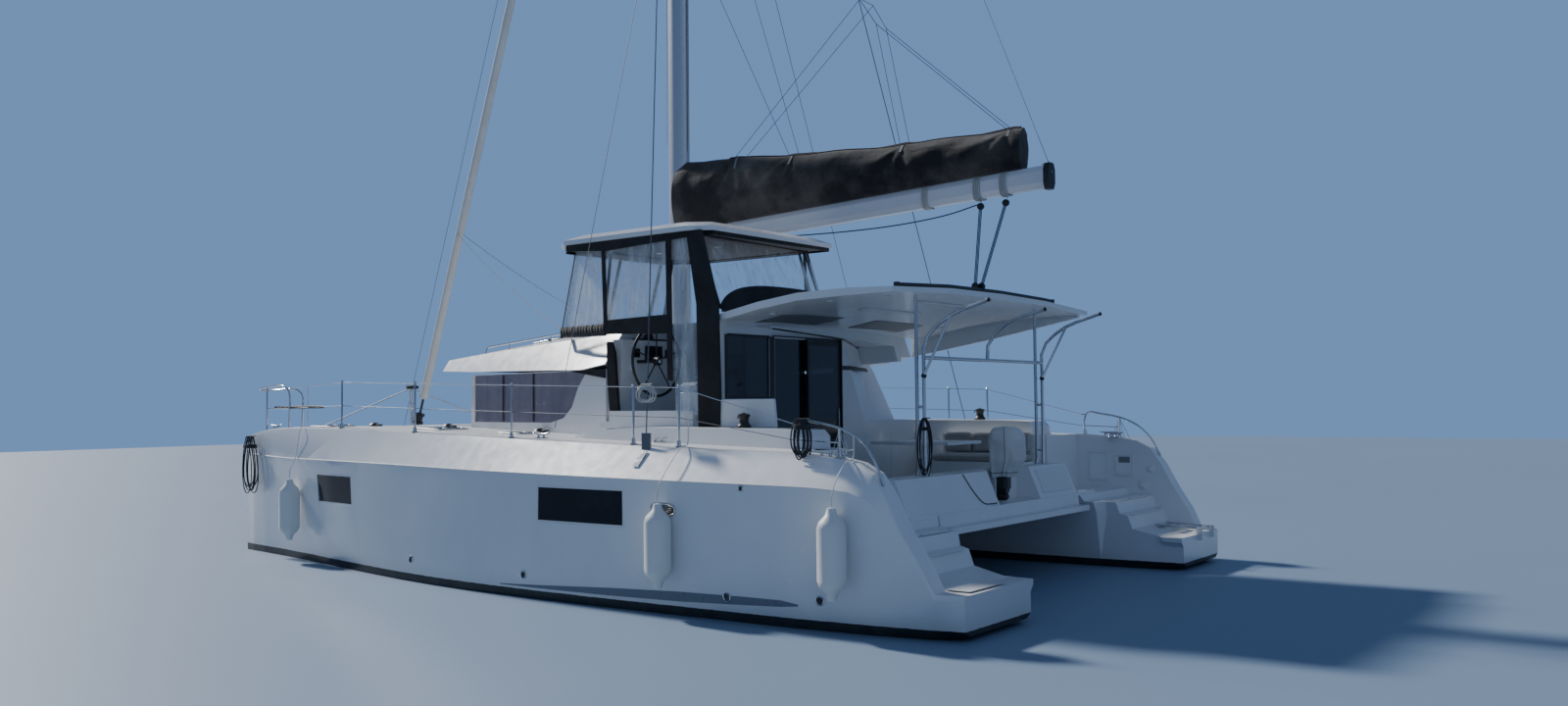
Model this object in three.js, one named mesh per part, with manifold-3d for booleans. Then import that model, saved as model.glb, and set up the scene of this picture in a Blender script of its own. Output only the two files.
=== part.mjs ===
// Sailing catamaran, about 12.8 m long, with a stowed mainsail and a furled jib.
// Units are millimetres. +X points to the bows, +Y to port, +Z up.
// The origin lies at the waterline, on the centreline, amidships.
import * as THREE from 'three';
import { mergeVertices } from 'three/addons/utils/BufferGeometryUtils.js';
import Module from 'manifold-3d';

const wasm = await Module();
wasm.setup();

// Clearance between pieces that touch.
const GAP = 0.3;

// Hulls.
const HULL_Y = 2850;
const PAINT_Z = 100;
const STEM_X = 6370;
const TRANSOM_X = -6400;
const INNER_Y = 1800;
const WING_INNER_Y = 3430;
const PASSAGE_FRONT_X = -4450;
const COCKPIT_HALF = 2450;

// Bridgedeck and cockpit.
const SOLE_Z = 960;
const UNDERSIDE_Z = 750;
const LEDGE_Z = 815;
const BRIDGE_AFT_X = -5330;
const BRIDGE_FRONT_X = 3900;
const BULKHEAD_X = -2300;
const BULKHEAD_T = 60;
const AFT_WALL_TOP = 1345;

// Saloon and coachroof.
const WALL_T = 60;
const ROOF_UNDER = 2600;
const WINDOW_LOW = 1930;
const WINDOW_HIGH = 2588;

// Doorway in the aft bulkhead.
const DOOR = { port: 930, starboard: -430, top: 2970, pane: 18 };

// Helm station on the port side.
const HELM_FLOOR_Z = 1950;
const HELM_DASH_X = -850;
const HELM_INNER_Y = 1050;
const WHEEL = { x: -1320, y: 1980, z: 2690, r: 430, tube: 15, reach: 318 };
const HELM_TOP_Z = 4160;
const UNDER_TOP = HELM_TOP_Z - GAP;

// Rig.
const MAST = { x: 30, long: 350, wide: 200, top: 20000 };
const GOOSENECK = { x: -370, z: 4505, pin: 12 };
const HOUNDS_Z = 18400;
const FORESTAY_X = 6020;
const CHAINPLATE = { x: -2610, y: 3560, z: 1790 };

// Cockpit hardtop posts.
const POST_Y = 1500;
const POST_X = -4750;
const POST_PAIR = 90;

// Underwater gear.
const RUDDER = { x: -5150, top: -330, low: -1120 };
const DRIVE = { x: -3700, shaft: -760 };

// Colour, roughness and metalness of each finish.
const FINISH = {
  gelcoat: [0xe9ecef, 0.25, 0],
  bottom_paint: [0x14171c, 0.8, 0],
  smoked_glass: [0x20232a, 0.1, 0],
  shaded_glass: [0x8d8390, 0.2, 0],
  clear_vinyl: [0xc9d4dc, 0.15, 0],
  black_fabric: [0x17181b, 0.9, 0],
  canvas: [0x2c2d31, 0.95, 0],
  stainless: [0xc8ccd0, 0.2, 1],
  aluminium: [0xb9bdc1, 0.4, 1],
  sail_white: [0xe6e4de, 0.9, 0],
  fender: [0xeeeeea, 0.5, 0],
  net: [0xdcdcd8, 0.9, 0],
  black_plastic: [0x1b1c1f, 0.5, 0],
  cushion: [0xb9b4a8, 0.95, 0],
  bronze: [0xb08d4f, 0.35, 1],
};

const model = new THREE.Group();

function add(name, geometry, finish) {
  const [color, roughness, metalness] = FINISH[finish];
  const material = new THREE.MeshStandardMaterial({ color, roughness, metalness });
  const mesh = new THREE.Mesh(geometry, material);
  mesh.name = name;
  model.add(mesh);
}

// Turns a closed geometry into a solid for cutting and joining.
function toSolid(geometry) {
  const bare = geometry.clone();
  bare.deleteAttribute('normal');
  bare.deleteAttribute('uv');
  const merged = mergeVertices(bare, 1e-3);
  return new wasm.Manifold(new wasm.Mesh({
    numProp: 3,
    vertProperties: new Float32Array(merged.attributes.position.array),
    triVerts: new Uint32Array(merged.index.array),
  }));
}

function toGeometry(body) {
  const mesh = body.getMesh();
  const geometry = new THREE.BufferGeometry();
  geometry.setAttribute('position', new THREE.BufferAttribute(new Float32Array(mesh.vertProperties), 3));
  geometry.setIndex(new THREE.BufferAttribute(new Uint32Array(mesh.triVerts), 1));
  return geometry;
}

function join(...pieces) {
  return toGeometry(pieces.map(toSolid).reduce((whole, piece) => whole.add(piece)));
}

function cut(piece, ...tools) {
  return toGeometry(tools.map(toSolid).reduce((whole, tool) => whole.subtract(tool), toSolid(piece)));
}

function common(piece, other) {
  return toGeometry(toSolid(piece).intersect(toSolid(other)));
}

function moved(geometry, x, y, z) {
  return geometry.clone().translate(x, y, z);
}

// The same piece on the other side of the centreline.
function mirror(geometry) {
  const flipped = geometry.clone().scale(1, -1, 1);
  const index = flipped.index.array;
  for (let i = 0; i < index.length; i += 3) {
    [index[i], index[i + 1]] = [index[i + 1], index[i]];
  }
  return flipped;
}

function box(x0, x1, y0, y1, z0, z1) {
  const block = new THREE.BoxGeometry(x1 - x0, y1 - y0, z1 - z0);
  return block.translate((x0 + x1) / 2, (y0 + y1) / 2, (z0 + z1) / 2);
}

const apart = (p, q) => Math.hypot(p[0] - q[0], p[1] - q[1], p[2] - q[2]);

// The axis that a ring faces most: 0 is X, 1 is Y, 2 is Z.
function facing(ring) {
  const normal = [0, 1, 2].map((axis) => {
    const [u, v] = [(axis + 1) % 3, (axis + 2) % 3];
    const outline = ring.map((p) => new THREE.Vector2(p[u], p[v]));
    return Math.abs(THREE.ShapeUtils.area(outline));
  });
  return normal.indexOf(Math.max(...normal));
}

// A closed skin through rings of equal point count, flat at both ends.
function loft(rings) {
  const count = rings[0].length;
  const points = rings.flat();
  const index = [];
  for (let i = 0; i + 1 < rings.length; i += 1) {
    for (let j = 0; j < count; j += 1) {
      const a = i * count + j;
      const b = i * count + ((j + 1) % count);
      if (apart(points[a], points[b + count]) <= apart(points[b], points[a + count])) {
        index.push(a, b, b + count, a, b + count, a + count);
      } else {
        index.push(a, b, a + count, b, b + count, a + count);
      }
    }
  }
  [0, rings.length - 1].forEach((i) => {
    const axis = facing(rings[i]);
    const outline = rings[i].map((p) => new THREE.Vector2(p[(axis + 1) % 3], p[(axis + 2) % 3]));
    const turn = Math.sign(THREE.ShapeUtils.area(outline)) * (i === 0 ? -1 : 1);
    THREE.ShapeUtils.triangulateShape(outline, []).forEach(([a, b, c]) => {
      const side = Math.sign(THREE.ShapeUtils.area([outline[a], outline[b], outline[c]]));
      index.push(...(side === turn ? [a, b, c] : [a, c, b]).map((k) => i * count + k));
    });
  });
  const geometry = new THREE.BufferGeometry();
  geometry.setAttribute('position', new THREE.BufferAttribute(new Float32Array(points.flat()), 3));
  geometry.setIndex(index);
  return signedVolume(geometry) < 0 ? insideOut(geometry) : geometry;
}

function signedVolume(geometry) {
  const at = (k) => new THREE.Vector3().fromBufferAttribute(geometry.attributes.position, k);
  const index = geometry.index.array;
  let sum = 0;
  for (let i = 0; i < index.length; i += 3) {
    sum += at(index[i]).dot(at(index[i + 1]).cross(at(index[i + 2])));
  }
  return sum;
}

function insideOut(geometry) {
  const index = geometry.index.array;
  for (let i = 0; i < index.length; i += 3) {
    [index[i], index[i + 1]] = [index[i + 1], index[i]];
  }
  return geometry;
}

// An outline in the other two axes, in their order, carried along one axis: 0 is X, 1 is Y, 2 is Z.
function prism(axis, outline, from, to) {
  const place = (level) => outline.map(([a, b]) => {
    if (axis === 0) return [level, a, b];
    return axis === 1 ? [a, level, b] : [a, b, level];
  });
  return loft([place(from), place(to)]);
}

function rod(from, to, radius, sides = 6) {
  const a = new THREE.Vector3(...from);
  const b = new THREE.Vector3(...to);
  const length = a.distanceTo(b);
  const piece = new THREE.CylinderGeometry(radius, radius, length, sides);
  const turn = new THREE.Quaternion().setFromUnitVectors(
    new THREE.Vector3(0, 1, 0),
    b.clone().sub(a).normalize(),
  );
  const middle = a.add(b).multiplyScalar(0.5);
  return piece.applyQuaternion(turn).translate(middle.x, middle.y, middle.z);
}

function tube(points, radius, steps, sides = 8) {
  const curve = new THREE.CatmullRomCurve3(points.map((p) => new THREE.Vector3(...p)), false, 'centripetal');
  const section = new THREE.Shape();
  for (let i = 0; i < sides; i += 1) {
    const angle = (2 * Math.PI * i) / sides;
    const move = i === 0 ? 'moveTo' : 'lineTo';
    section[move](radius * Math.cos(angle), radius * Math.sin(angle));
  }
  return new THREE.ExtrudeGeometry(section, { steps, extrudePath: curve, curveSegments: 1 });
}

// A round piece about a line through at, with [radius, height] pairs from end to end.
function turned(profile, at, axis, sides = 12) {
  const piece = new THREE.LatheGeometry(profile.map(([r, h]) => new THREE.Vector2(r, h)), sides);
  const turn = new THREE.Quaternion().setFromUnitVectors(
    new THREE.Vector3(0, 1, 0),
    new THREE.Vector3(...axis).normalize(),
  );
  return piece.applyQuaternion(turn).translate(...at);
}

const between = (a, b, t) => a + (b - a) * t;

// Hulls: sections from transom to stem.
const HULL_SECTIONS = [
  // x, deck z, deck y, knuckle y, knuckle z, outer waterline y, inner waterline y, bottom z
  [-6400, 420, 3500, 3515, 370, 3500, 2180, 20],
  [-6160, 430, 3625, 3635, 380, 3555, 2160, -60],
  [-6040, 670, 3660, 3680, 610, 3585, 2150, -95],
  [-5840, 972, 3680, 3710, 900, 3610, 2135, -150],
  [-5675, 1283, 3680, 3740, 1140, 3640, 2125, -195],
  [-5525, 1490, 3645, 3765, 1260, 3665, 2115, -225],
  [-5340, 1585, 3600, 3785, 1325, 3685, 2105, -262],
  [-5100, 1630, 3570, 3805, 1350, 3705, 2095, -305],
  [-4700, 1669, 3550, 3830, 1360, 3750, 2085, -370],
  [-2100, 1736, 3550, 3850, 1380, 3850, 2050, -560],
  [0, 1791, 3520, 3800, 1405, 3840, 2060, -620],
  [1600, 1833, 3430, 3690, 1430, 3680, 2130, -620],
  [3370, 1880, 3320, 3480, 1440, 3370, 2290, -570],
  [4700, 1880, 3170, 3260, 1440, 3120, 2480, -500],
  [5600, 1840, 3040, 3080, 1455, 2980, 2650, -420],
  [6060, 1785, 2975, 2975, 1470, 2915, 2770, -330],
  [STEM_X, 1710, 2885, 2885, 1480, 2865, 2835, -120],
];

// Stations halfway between the rows, on a smooth curve through them.
function smoothRows(rows) {
  return rows.flatMap((row, k) => {
    const [before, next, after] = [rows[Math.max(k - 1, 0)], rows[k + 1], rows[Math.min(k + 2, rows.length - 1)]];
    if (!next) return [row];
    const steep = next[0] - row[0] < 300;
    const middle = row.map((v, i) => (
      steep || v === next[i] ? (v + next[i]) / 2 : (9 * (v + next[i]) - before[i] - after[i]) / 16));
    middle[0] = (row[0] + next[0]) / 2;
    return [row, middle];
  });
}
const HULL_STATIONS = smoothRows(HULL_SECTIONS);

// Inboard edge of the deck: straight beside the bridgedeck, then opening towards the bows.
const BOW_EDGE = [[3370, INNER_Y], [4700, 2483], [STEM_X, 2800]];

function innerEdge(x) {
  if (x <= BOW_EDGE[0][0]) return INNER_Y;
  const [a, b] = x < BOW_EDGE[1][0] ? BOW_EDGE : BOW_EDGE.slice(1);
  return between(a[1], b[1], (x - a[0]) / (b[0] - a[0]));
}

function hullRing([x, deckZ, deckY, knuckleY, knuckleZ, outerY, innerY, bottomZ]) {
  const round = Math.min(1, (deckZ - knuckleZ) / 320);
  const innerTop = innerEdge(x);
  const stepZ = Math.min(700, deckZ - 120);
  const stepY = Math.max(innerY - 120, innerTop);
  const upperZ = Math.min(980, deckZ - 60);
  const middle = (outerY + innerY) / 2;
  const half = (outerY - innerY) / 2;
  const bilgeZ = between(PAINT_Z, bottomZ, 0.62);
  return [
    [x, x < -5360 ? Math.max(innerTop, innerY - 60) : innerTop, deckZ],
    [x, deckY - 70 * round, deckZ],
    [x, deckY - 14 * round, deckZ - 14 * round],
    [x, between(deckY, knuckleY, 0.16), between(deckZ, knuckleZ, 0.22)],
    [x, knuckleY, knuckleZ],
    [x, outerY, PAINT_Z],
    [x, middle + half * 0.86, bilgeZ],
    [x, middle + half * 0.4, bottomZ + 30],
    [x, middle - half * 0.4, bottomZ + 30],
    [x, middle - half * 0.86, bilgeZ],
    [x, innerY, PAINT_Z],
    [x, x < -5360 ? innerY : stepY, stepZ],
    [x, x < -5360 ? Math.max(innerTop, innerY - 60) : innerTop, upperZ],
  ];
}

// Steps and passage behind the cockpit, as an outline in X and Z that is cut away.
const PLATFORM_Z = 415;
const STERN_CUT = [
  [PASSAGE_FRONT_X, 2600], [PASSAGE_FRONT_X, SOLE_Z - 30], [-5180, SOLE_Z - 30], [-5220, 850], [-5560, 835],
  [-5600, 690], [-5700, 665], [-5760, 500], [-6150, PLATFORM_Z], [-6500, PLATFORM_Z], [-6500, 2600],
];

const HULL_WINDOWS = {
  // low x, high x, low z, high z
  fwd: [2700, 3730, 850, 1260],
  aft: [-2550, -1200, 860, 1270],
};
const WINDOW_RECESS = 14;

function hullSkinY(x, z) {
  const ahead = HULL_STATIONS.findIndex((row) => row[0] >= x);
  const [low, high] = [HULL_STATIONS[ahead - 1], HULL_STATIONS[ahead]];
  const t = (x - low[0]) / (high[0] - low[0]);
  const knuckleY = between(low[3], high[3], t);
  const knuckleZ = between(low[4], high[4], t);
  const outerY = between(low[5], high[5], t);
  return between(outerY, knuckleY, (z - PAINT_Z) / (knuckleZ - PAINT_Z));
}

// The recess of a hull window, as a slab that follows the topside.
function skinSlab([x0, x1, z0, z1]) {
  const corners = [[x0, z0], [x0, z1], [x1, z1], [x1, z0]];
  const layer = (shift) => corners.map(([x, z]) => [x, hullSkinY(x, z) + shift, z]);
  return loft([layer(60), layer(-WINDOW_RECESS)]);
}

function coaming() {
  const ring = (x, low, high) => [
    [x, COCKPIT_HALF + 5, low], [x, 3080, low], [x, 3000, high], [x, COCKPIT_HALF + 5, high],
  ];
  return loft([ring(-4240, 1600, 1800), ring(-4170, 1600, 1870), ring(-3800, 1620, 1885), ring(-2000, 1650, 1895),
    ring(-1150, 1650, 1860), ring(-950, 1650, 1790)]);
}

function rudderBoss() {
  return rod([RUDDER.x, HULL_Y, -100], [RUDDER.x, HULL_Y, RUDDER.top + GAP], 70, 10);
}

function driveBoss() {
  return box(DRIVE.x - 220, DRIVE.x + 220, HULL_Y - 90, HULL_Y + 90, -500, -400);
}

// Hinge of the swim ladder, outside the starboard transom.
const LADDER = { x: -6432, z: 470, y0: -3150, y1: -2750, length: 600, tube: 13, pin: 7 };

function ladderBracket() {
  const lug = (y) => box(TRANSOM_X - 60, TRANSOM_X + 20, y - 6, y + 6, 340, 500);
  return join(lug(LADDER.y0 - 30), lug(LADDER.y1 + 30),
    rod([LADDER.x, LADDER.y0 - 36, LADDER.z], [LADDER.x, LADDER.y1 + 36, LADDER.z], LADDER.pin, 12));
}

const keelCut = box(-1500, 1150, HULL_Y - 400, HULL_Y + 400, -900, -560);

const hull = cut(
  join(
    cut(
      join(loft(HULL_STATIONS.map(hullRing)), coaming()),
      prism(1, STERN_CUT, 1000, WING_INNER_Y),
      box(PASSAGE_FRONT_X - 10, BULKHEAD_X - BULKHEAD_T, 1000, COCKPIT_HALF, SOLE_Z, 2600),
      keelCut,
    ),
    rudderBoss(),
    driveBoss(),
  ),
  skinSlab(HULL_WINDOWS.fwd),
  skinSlab(HULL_WINDOWS.aft),
);
const hullStarboard = join(mirror(hull), ladderBracket());
add('hull_port', hull, 'gelcoat');
add('hull_starboard', hullStarboard, 'gelcoat');

// Fin keels.
function foil(z, front, back, thick, y) {
  const shape = [[0, 0], [0.12, 0.42], [0.35, 0.5], [0.7, 0.3], [1, 0.04]];
  const side = (sign, rows) => rows.map(([along, out]) => [
    front - along * (front - back), y + sign * out * thick, z,
  ]);
  return [...side(1, shape), ...side(-1, shape.slice(1).reverse())];
}

const keel = loft([
  foil(-560 - GAP, 1100, -1450, 300, HULL_Y),
  foil(-900, 850, -1250, 270, HULL_Y),
  foil(-1250, 650, -1150, 220, HULL_Y),
]);
add('keel_port', keel, 'bottom_paint');
add('keel_starboard', mirror(keel), 'bottom_paint');

// Bridgedeck: one moulding with the nacelle below it and the foredeck in front of the saloon.
const DECK_EDGE = INNER_Y - GAP;

function bridgedeck() {
  const slab = prism(1, [
    [BRIDGE_AFT_X, UNDERSIDE_Z], [BRIDGE_AFT_X, LEDGE_Z], [-5190, LEDGE_Z], [-5170, SOLE_Z], [2600, SOLE_Z],
    [2600, 1858], [BRIDGE_FRONT_X, 1880], [BRIDGE_FRONT_X + 60, 1500], [BRIDGE_FRONT_X - 100, 1100],
    [3300, 760], [1000, 700], [-5100, UNDERSIDE_Z - 10],
  ], -DECK_EDGE, DECK_EDGE);
  const pod = loft([
    [[-2600, -500, 900], [-2600, 500, 900], [-2600, 300, 700], [-2600, -300, 700]],
    [[-1500, -600, 900], [-1500, 600, 900], [-1500, 350, 560], [-1500, -350, 560]],
    [[2600, -600, 900], [2600, 600, 900], [2600, 300, 520], [2600, -300, 520]],
    [[3850, -260, 1150], [3850, 260, 1150], [3850, 120, 900], [3850, -120, 900]],
  ]);
  const well = box(2900, 3620, -1450, 1450, 1700, 2000);
  return cut(join(slab, pod), well);
}

const bridge = bridgedeck();
add('bridgedeck', bridge, 'gelcoat');

// Foredeck locker lids in the well.
for (const [name, y0, y1] of [['foredeck_lid_port', 60, 1400], ['foredeck_lid_starboard', -1400, -60]]) {
  add(name, box(2960, 3560, y0, y1, 1700 + GAP, 1745), 'gelcoat');
}

// Cockpit aft wall with the aft seat in front of it.
function cockpitAft() {
  const wall = prism(1, [
    [-5160, SOLE_Z + GAP], [-5000, AFT_WALL_TOP], [-4690, AFT_WALL_TOP], [-4660, 1290],
    [PASSAGE_FRONT_X - 5, 1290], [PASSAGE_FRONT_X - 5, SOLE_Z + GAP],
  ], -INNER_Y, 2400);
  const bay = box(-5300, -4840, -720, 370, SOLE_Z - 40, 1500);
  return cut(wall, bay);
}
add('cockpit_aft', cockpitAft(), 'gelcoat');

// Saloon shell in plan: outer line from the port aft end round the front to starboard.
const SALOON_LINE = [[-780, 2320], [2480, 1740], [2720, 900], [2720, -900], [2480, -1740], [-2290, -2420]];

function band(inset, thickness, z0, z1) {
  const middle = new THREE.Vector2(800, 0);
  const at = (k, depth) => {
    const p = new THREE.Vector2(...SALOON_LINE[k]);
    const around = [SALOON_LINE[k - 1], SALOON_LINE[k + 1]].filter(Boolean);
    const normals = around.map((q, i) => {
      const along = new THREE.Vector2(...q).sub(p).multiplyScalar(i === 0 && k > 0 ? -1 : 1);
      const normal = new THREE.Vector2(along.y, -along.x).normalize();
      return normal.dot(middle.clone().sub(p)) < 0 ? normal.negate() : normal;
    });
    const sum = normals.reduce((whole, n) => whole.add(n), new THREE.Vector2()).normalize();
    const shift = depth / sum.dot(normals[0]);
    return p.clone().addScaledVector(sum, shift).toArray();
  };
  const outer = SALOON_LINE.map((_, k) => at(k, inset));
  const inner = SALOON_LINE.map((_, k) => at(k, inset + thickness)).reverse();
  return prism(2, [...outer, ...inner], z0, z1);
}

// Window outlines; the side ones run back to a raked edge.
const SIDE_WINDOW = [
  [2380, WINDOW_LOW], [2380, WINDOW_HIGH], [-380, WINDOW_HIGH], [-180, 2380], [-40, 2130], [150, 1990],
  [450, WINDOW_LOW],
];
const FRONT_WINDOW = [[-1660, WINDOW_LOW], [-1660, WINDOW_HIGH], [1660, WINDOW_HIGH], [1660, WINDOW_LOW]];

const frontTool = prism(0, FRONT_WINDOW, 2430, 2900);
const portTool = prism(1, SIDE_WINDOW, 1000, 2700);
const starboardTool = prism(1, SIDE_WINDOW, -2700, -1000);

// Starboard wing of the aft bulkhead: it runs forward and out from the doorway to the raked end of the side wall.
const WING = {
  low: 1840,
  x: (z) => -2135 + (z - 1690) * 0.5,
  joinY: (z) => -1210 + (z - 1690) * 0.485,
};
const wallEnd = prism(1, [
  [-3000, 1500], [WING.x(1500) + BULKHEAD_T, 1500], [WING.x(2800) + BULKHEAD_T, 2800], [-3000, 2800],
], -3000, -1000);

const deckBelow = join(moved(hull, 0, 0, GAP), moved(mirror(hull), 0, 0, GAP), moved(bridge, 0, 0, GAP));
const saloonShell = cut(band(0, WALL_T, 1690, ROOF_UNDER - GAP), deckBelow, frontTool, portTool, starboardTool,
  wallEnd);
add('saloon_walls', saloonShell, 'gelcoat');

function shrunk(outline, by) {
  const cx = outline.reduce((sum, p) => sum + p[0], 0) / outline.length;
  const cz = outline.reduce((sum, p) => sum + p[1], 0) / outline.length;
  return outline.map(([a, b]) => [a - Math.sign(a - cx) * by, b - Math.sign(b - cz) * by]);
}
const glassBand = band(12, 10, 1800, 2600);
add('window_front', common(glassBand, prism(0, shrunk(FRONT_WINDOW, GAP), 2430 + GAP, 2900)), 'shaded_glass');
add('window_port', common(glassBand, prism(1, shrunk(SIDE_WINDOW, GAP), 1000, 2700)), 'shaded_glass');
add('window_starboard', common(glassBand, prism(1, shrunk(SIDE_WINDOW, GAP), -2700, -1000)), 'shaded_glass');

// Coachroof: sections from front to back.
const ROOF_SECTIONS = [
  // x, lower edge y, lower edge z, upper edge y, upper edge z, crown z
  [3300, 1560, 2720, 1480, 2800, 2850],
  [3120, 1740, 2670, 1620, 2830, 2930],
  [2300, 1880, 2640, 1700, 2890, 3090],
  [900, 2120, ROOF_UNDER + 20, 1880, 2970, 3220],
  [-350, 2330, ROOF_UNDER, 2020, 3040, 3260],
  [-845, 2400, 2660, 2080, 3060, 3265],
];

function roofRing([x, lowY, lowZ, highY, highZ, crownZ]) {
  const soft = between(highZ, crownZ, 0.72);
  return [
    [x, -lowY, lowZ], [x, lowY, lowZ], [x, highY, highZ],
    [x, highY * 0.55, soft], [x, 0, crownZ], [x, -highY * 0.55, soft], [x, -highY, highZ],
  ];
}

function coachroof() {
  const front = loft(ROOF_SECTIONS.map((row) => roofRing(row)));
  const last = ROOF_SECTIONS[ROOF_SECTIONS.length - 1];
  const aft = loft([
    roofRing([-830, 2400, 2660, 2080, 3060, 3265]),
    roofRing([BULKHEAD_X - 500, 2440, 2760, 2200, 3160, 3290]),
  ]);
  const helmSide = box(-3000, last[0], HELM_INNER_Y - 40, 3000, 2000, 4000);
  return { front, aft, helmSide };
}

const roofParts = coachroof();
const hollowUnder = loft([
  [[2350, -1500, 2400], [2350, 1500, 2400], [2350, 1450, 2760], [2350, -1450, 2760]],
  [[-780, -2180, 2400], [-780, 2150, 2400], [-780, 1850, 2960], [-780, -1900, 2960]],
]);
const hollowAft = loft([
  [[-770, -2180, 2400], [-770, 980, 2400], [-770, 980, 3100], [-770, -1900, 2960]],
  [[-3000, -2180, 2400], [-3000, 980, 2400], [-3000, 980, 3100], [-3000, -1900, 2960]],
]);
const roof = cut(
  join(roofParts.front, roofParts.aft),
  roofParts.helmSide,
  hollowUnder,
  hollowAft,
  box(-3400, BULKHEAD_X - BULKHEAD_T - GAP, -3000, 3000, 2000, 4000),
  prism(1, [[-1600, 2400], [-1600, 2640], [-2100, 2760], [-2500, 2835], [-2500, 2400]], -2600, -2100),
);
add('coachroof', roof, 'gelcoat');

// Aft bulkhead with the doorway and, to port of it, the galley window.
const GALLEY_WINDOW = { y0: 1030, y1: 1880, z0: 2230, z1: 2980 };

function bulkhead() {
  const aft = BULKHEAD_X - BULKHEAD_T;
  const plate = prism(0, [
    [-2425, 1690], [-2425, WING.low + 60], [WING.joinY(WING.low + 60), WING.low + 60], [WING.joinY(3000), 3000],
    [1005, 3080], [1950, 3120], [1950, 1690], [1790, 1690], [1790, SOLE_Z + GAP], [-1790, SOLE_Z + GAP],
    [-1790, 1690],
  ], aft, BULKHEAD_X);
  const shelf = prism(2, [
    [aft, -900], [aft, -2425], [WING.x(WING.low) + 40, -2425], [BULKHEAD_X, -900],
  ], WING.low, WING.low + 60);
  const ring = (z) => [
    [aft, WING.joinY(z), z], [WING.x(z), -2425, z], [WING.x(z) + BULKHEAD_T, -2425, z], [BULKHEAD_X, WING.joinY(z) + 20, z],
  ];
  const underRoof = prism(0, [
    [-2425, 1690], [-2425, 2620], [-2390, 2700], [-2185, 2760], [-1900, 2940], [0, 3040], [0, 1690],
  ], aft, -1000);
  const wing = common(loft([ring(WING.low), ring(3000)]), underRoof);
  const doorway = box(-2600, -2000, DOOR.starboard, DOOR.port, SOLE_Z + 40, DOOR.top);
  const galley = box(-2600, -2000, GALLEY_WINDOW.y0, GALLEY_WINDOW.y1, GALLEY_WINDOW.z0, GALLEY_WINDOW.z1);
  return cut(join(plate, shelf, wing), doorway, galley, deckBelow, saloonShell, moved(saloonShell, -GAP, 0, 0), roof,
    moved(roof, 0, 0, -GAP), moved(roof, -GAP, 0, 0));
}
add('bulkhead', bulkhead(), 'gelcoat');
add('window_galley', box(BULKHEAD_X - 40, BULKHEAD_X - 25, GALLEY_WINDOW.y0 + GAP, GALLEY_WINDOW.y1 - GAP,
  GALLEY_WINDOW.z0 + GAP, GALLEY_WINDOW.z1 - GAP), 'smoked_glass');

// Doorway: a fixed pane to port, a sliding pane to starboard on the cockpit side of it.
const doorMiddle = (DOOR.port + DOOR.starboard) / 2;
add('door_fixed', box(BULKHEAD_X - 30, BULKHEAD_X - 30 + DOOR.pane, doorMiddle, DOOR.port - GAP,
  SOLE_Z + 40 + GAP, DOOR.top - GAP), 'smoked_glass');
const trackX = BULKHEAD_X - BULKHEAD_T;
const doorTrack = join(
  box(trackX - 60, trackX - GAP, DOOR.starboard - 60, DOOR.port + 60, SOLE_Z + GAP, SOLE_Z + 12),
  box(trackX - 60, trackX - GAP, DOOR.starboard - 60, DOOR.starboard - 40, SOLE_Z + GAP, DOOR.top + 30),
  box(trackX - 60, trackX - GAP, DOOR.starboard - 60, DOOR.port + 60, DOOR.top + 18, DOOR.top + 30),
);
add('door_track', doorTrack, 'black_plastic');
add('door_sliding', box(trackX - 40, trackX - 14, DOOR.starboard - 20, doorMiddle + 30,
  SOLE_Z + 12 + GAP, DOOR.top + 18 - GAP), 'smoked_glass');

// Helm pod: floor, inboard wall and dash, open aft and to port.
function helmPod() {
  const floor = box(BULKHEAD_X + 1, HELM_DASH_X + 60, HELM_INNER_Y - 38, 2440, HELM_FLOOR_Z - 80, HELM_FLOOR_Z);
  const inboard = box(BULKHEAD_X + 1, HELM_DASH_X + 60, HELM_INNER_Y - 38, HELM_INNER_Y + 20,
    HELM_FLOOR_Z - 80, 2960);
  const dash = prism(1, [
    [-790, HELM_FLOOR_Z - 80], [-790, 2540], [-850, 2700], [-850, 2960], [-1010, 2960], [-930, HELM_FLOOR_Z - 80],
  ], HELM_INNER_Y - 38, 2260);
  const side = box(BULKHEAD_X + 1, HELM_DASH_X - 100, 2380, 2440, HELM_FLOOR_Z - 80, 2080);
  const boss = box(WHEEL.x + WHEEL.reach + GAP, -920, WHEEL.y - 110, WHEEL.y + 110, 2580, 2800);
  return cut(join(floor, inboard, dash, side, boss), deckBelow, moved(roof, -GAP, 0, 0), moved(roof, 0, GAP, 0),
    moved(roof, 0, 0, -GAP), saloonShell);
}
add('helm_pod', helmPod(), 'gelcoat');

const helmSeat = join(
  box(-2240, -1880, 1400, 2240, HELM_FLOOR_Z + GAP, 2420),
  box(-2270, -2180, 1400, 2240, 2300, 2760),
);
add('helm_seat', helmSeat, 'cushion');

function helmWheel() {
  const rim = new THREE.TorusGeometry(WHEEL.r, WHEEL.tube, 6, 28).rotateY(Math.PI / 2);
  const hub = rod([-55, 0, 0], [25, 0, 0], 55, 10);
  const spokes = [0, 1, 2, 3, 4].map((k) => {
    const angle = (2 * Math.PI * k) / 5;
    return rod([0, 0, 0], [0, WHEEL.r * Math.sin(angle), WHEEL.r * Math.cos(angle)], 9);
  });
  const shaft = rod([0, 0, 0], [WHEEL.reach, 0, 0], 22, 8);
  return moved(join(rim, hub, shaft, ...spokes), WHEEL.x, WHEEL.y, WHEEL.z);
}
add('helm_wheel', helmWheel(), 'black_plastic');

// Helm hardtop, its frame, the fabric front and side, the curtain and the raked pillar.
const TOP_OUTLINE = [
  [60, 420], [80, 2240], [-260, 2540], [-2350, 2580], [-2600, 2400], [-2650, 60], [-420, 60],
];

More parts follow.
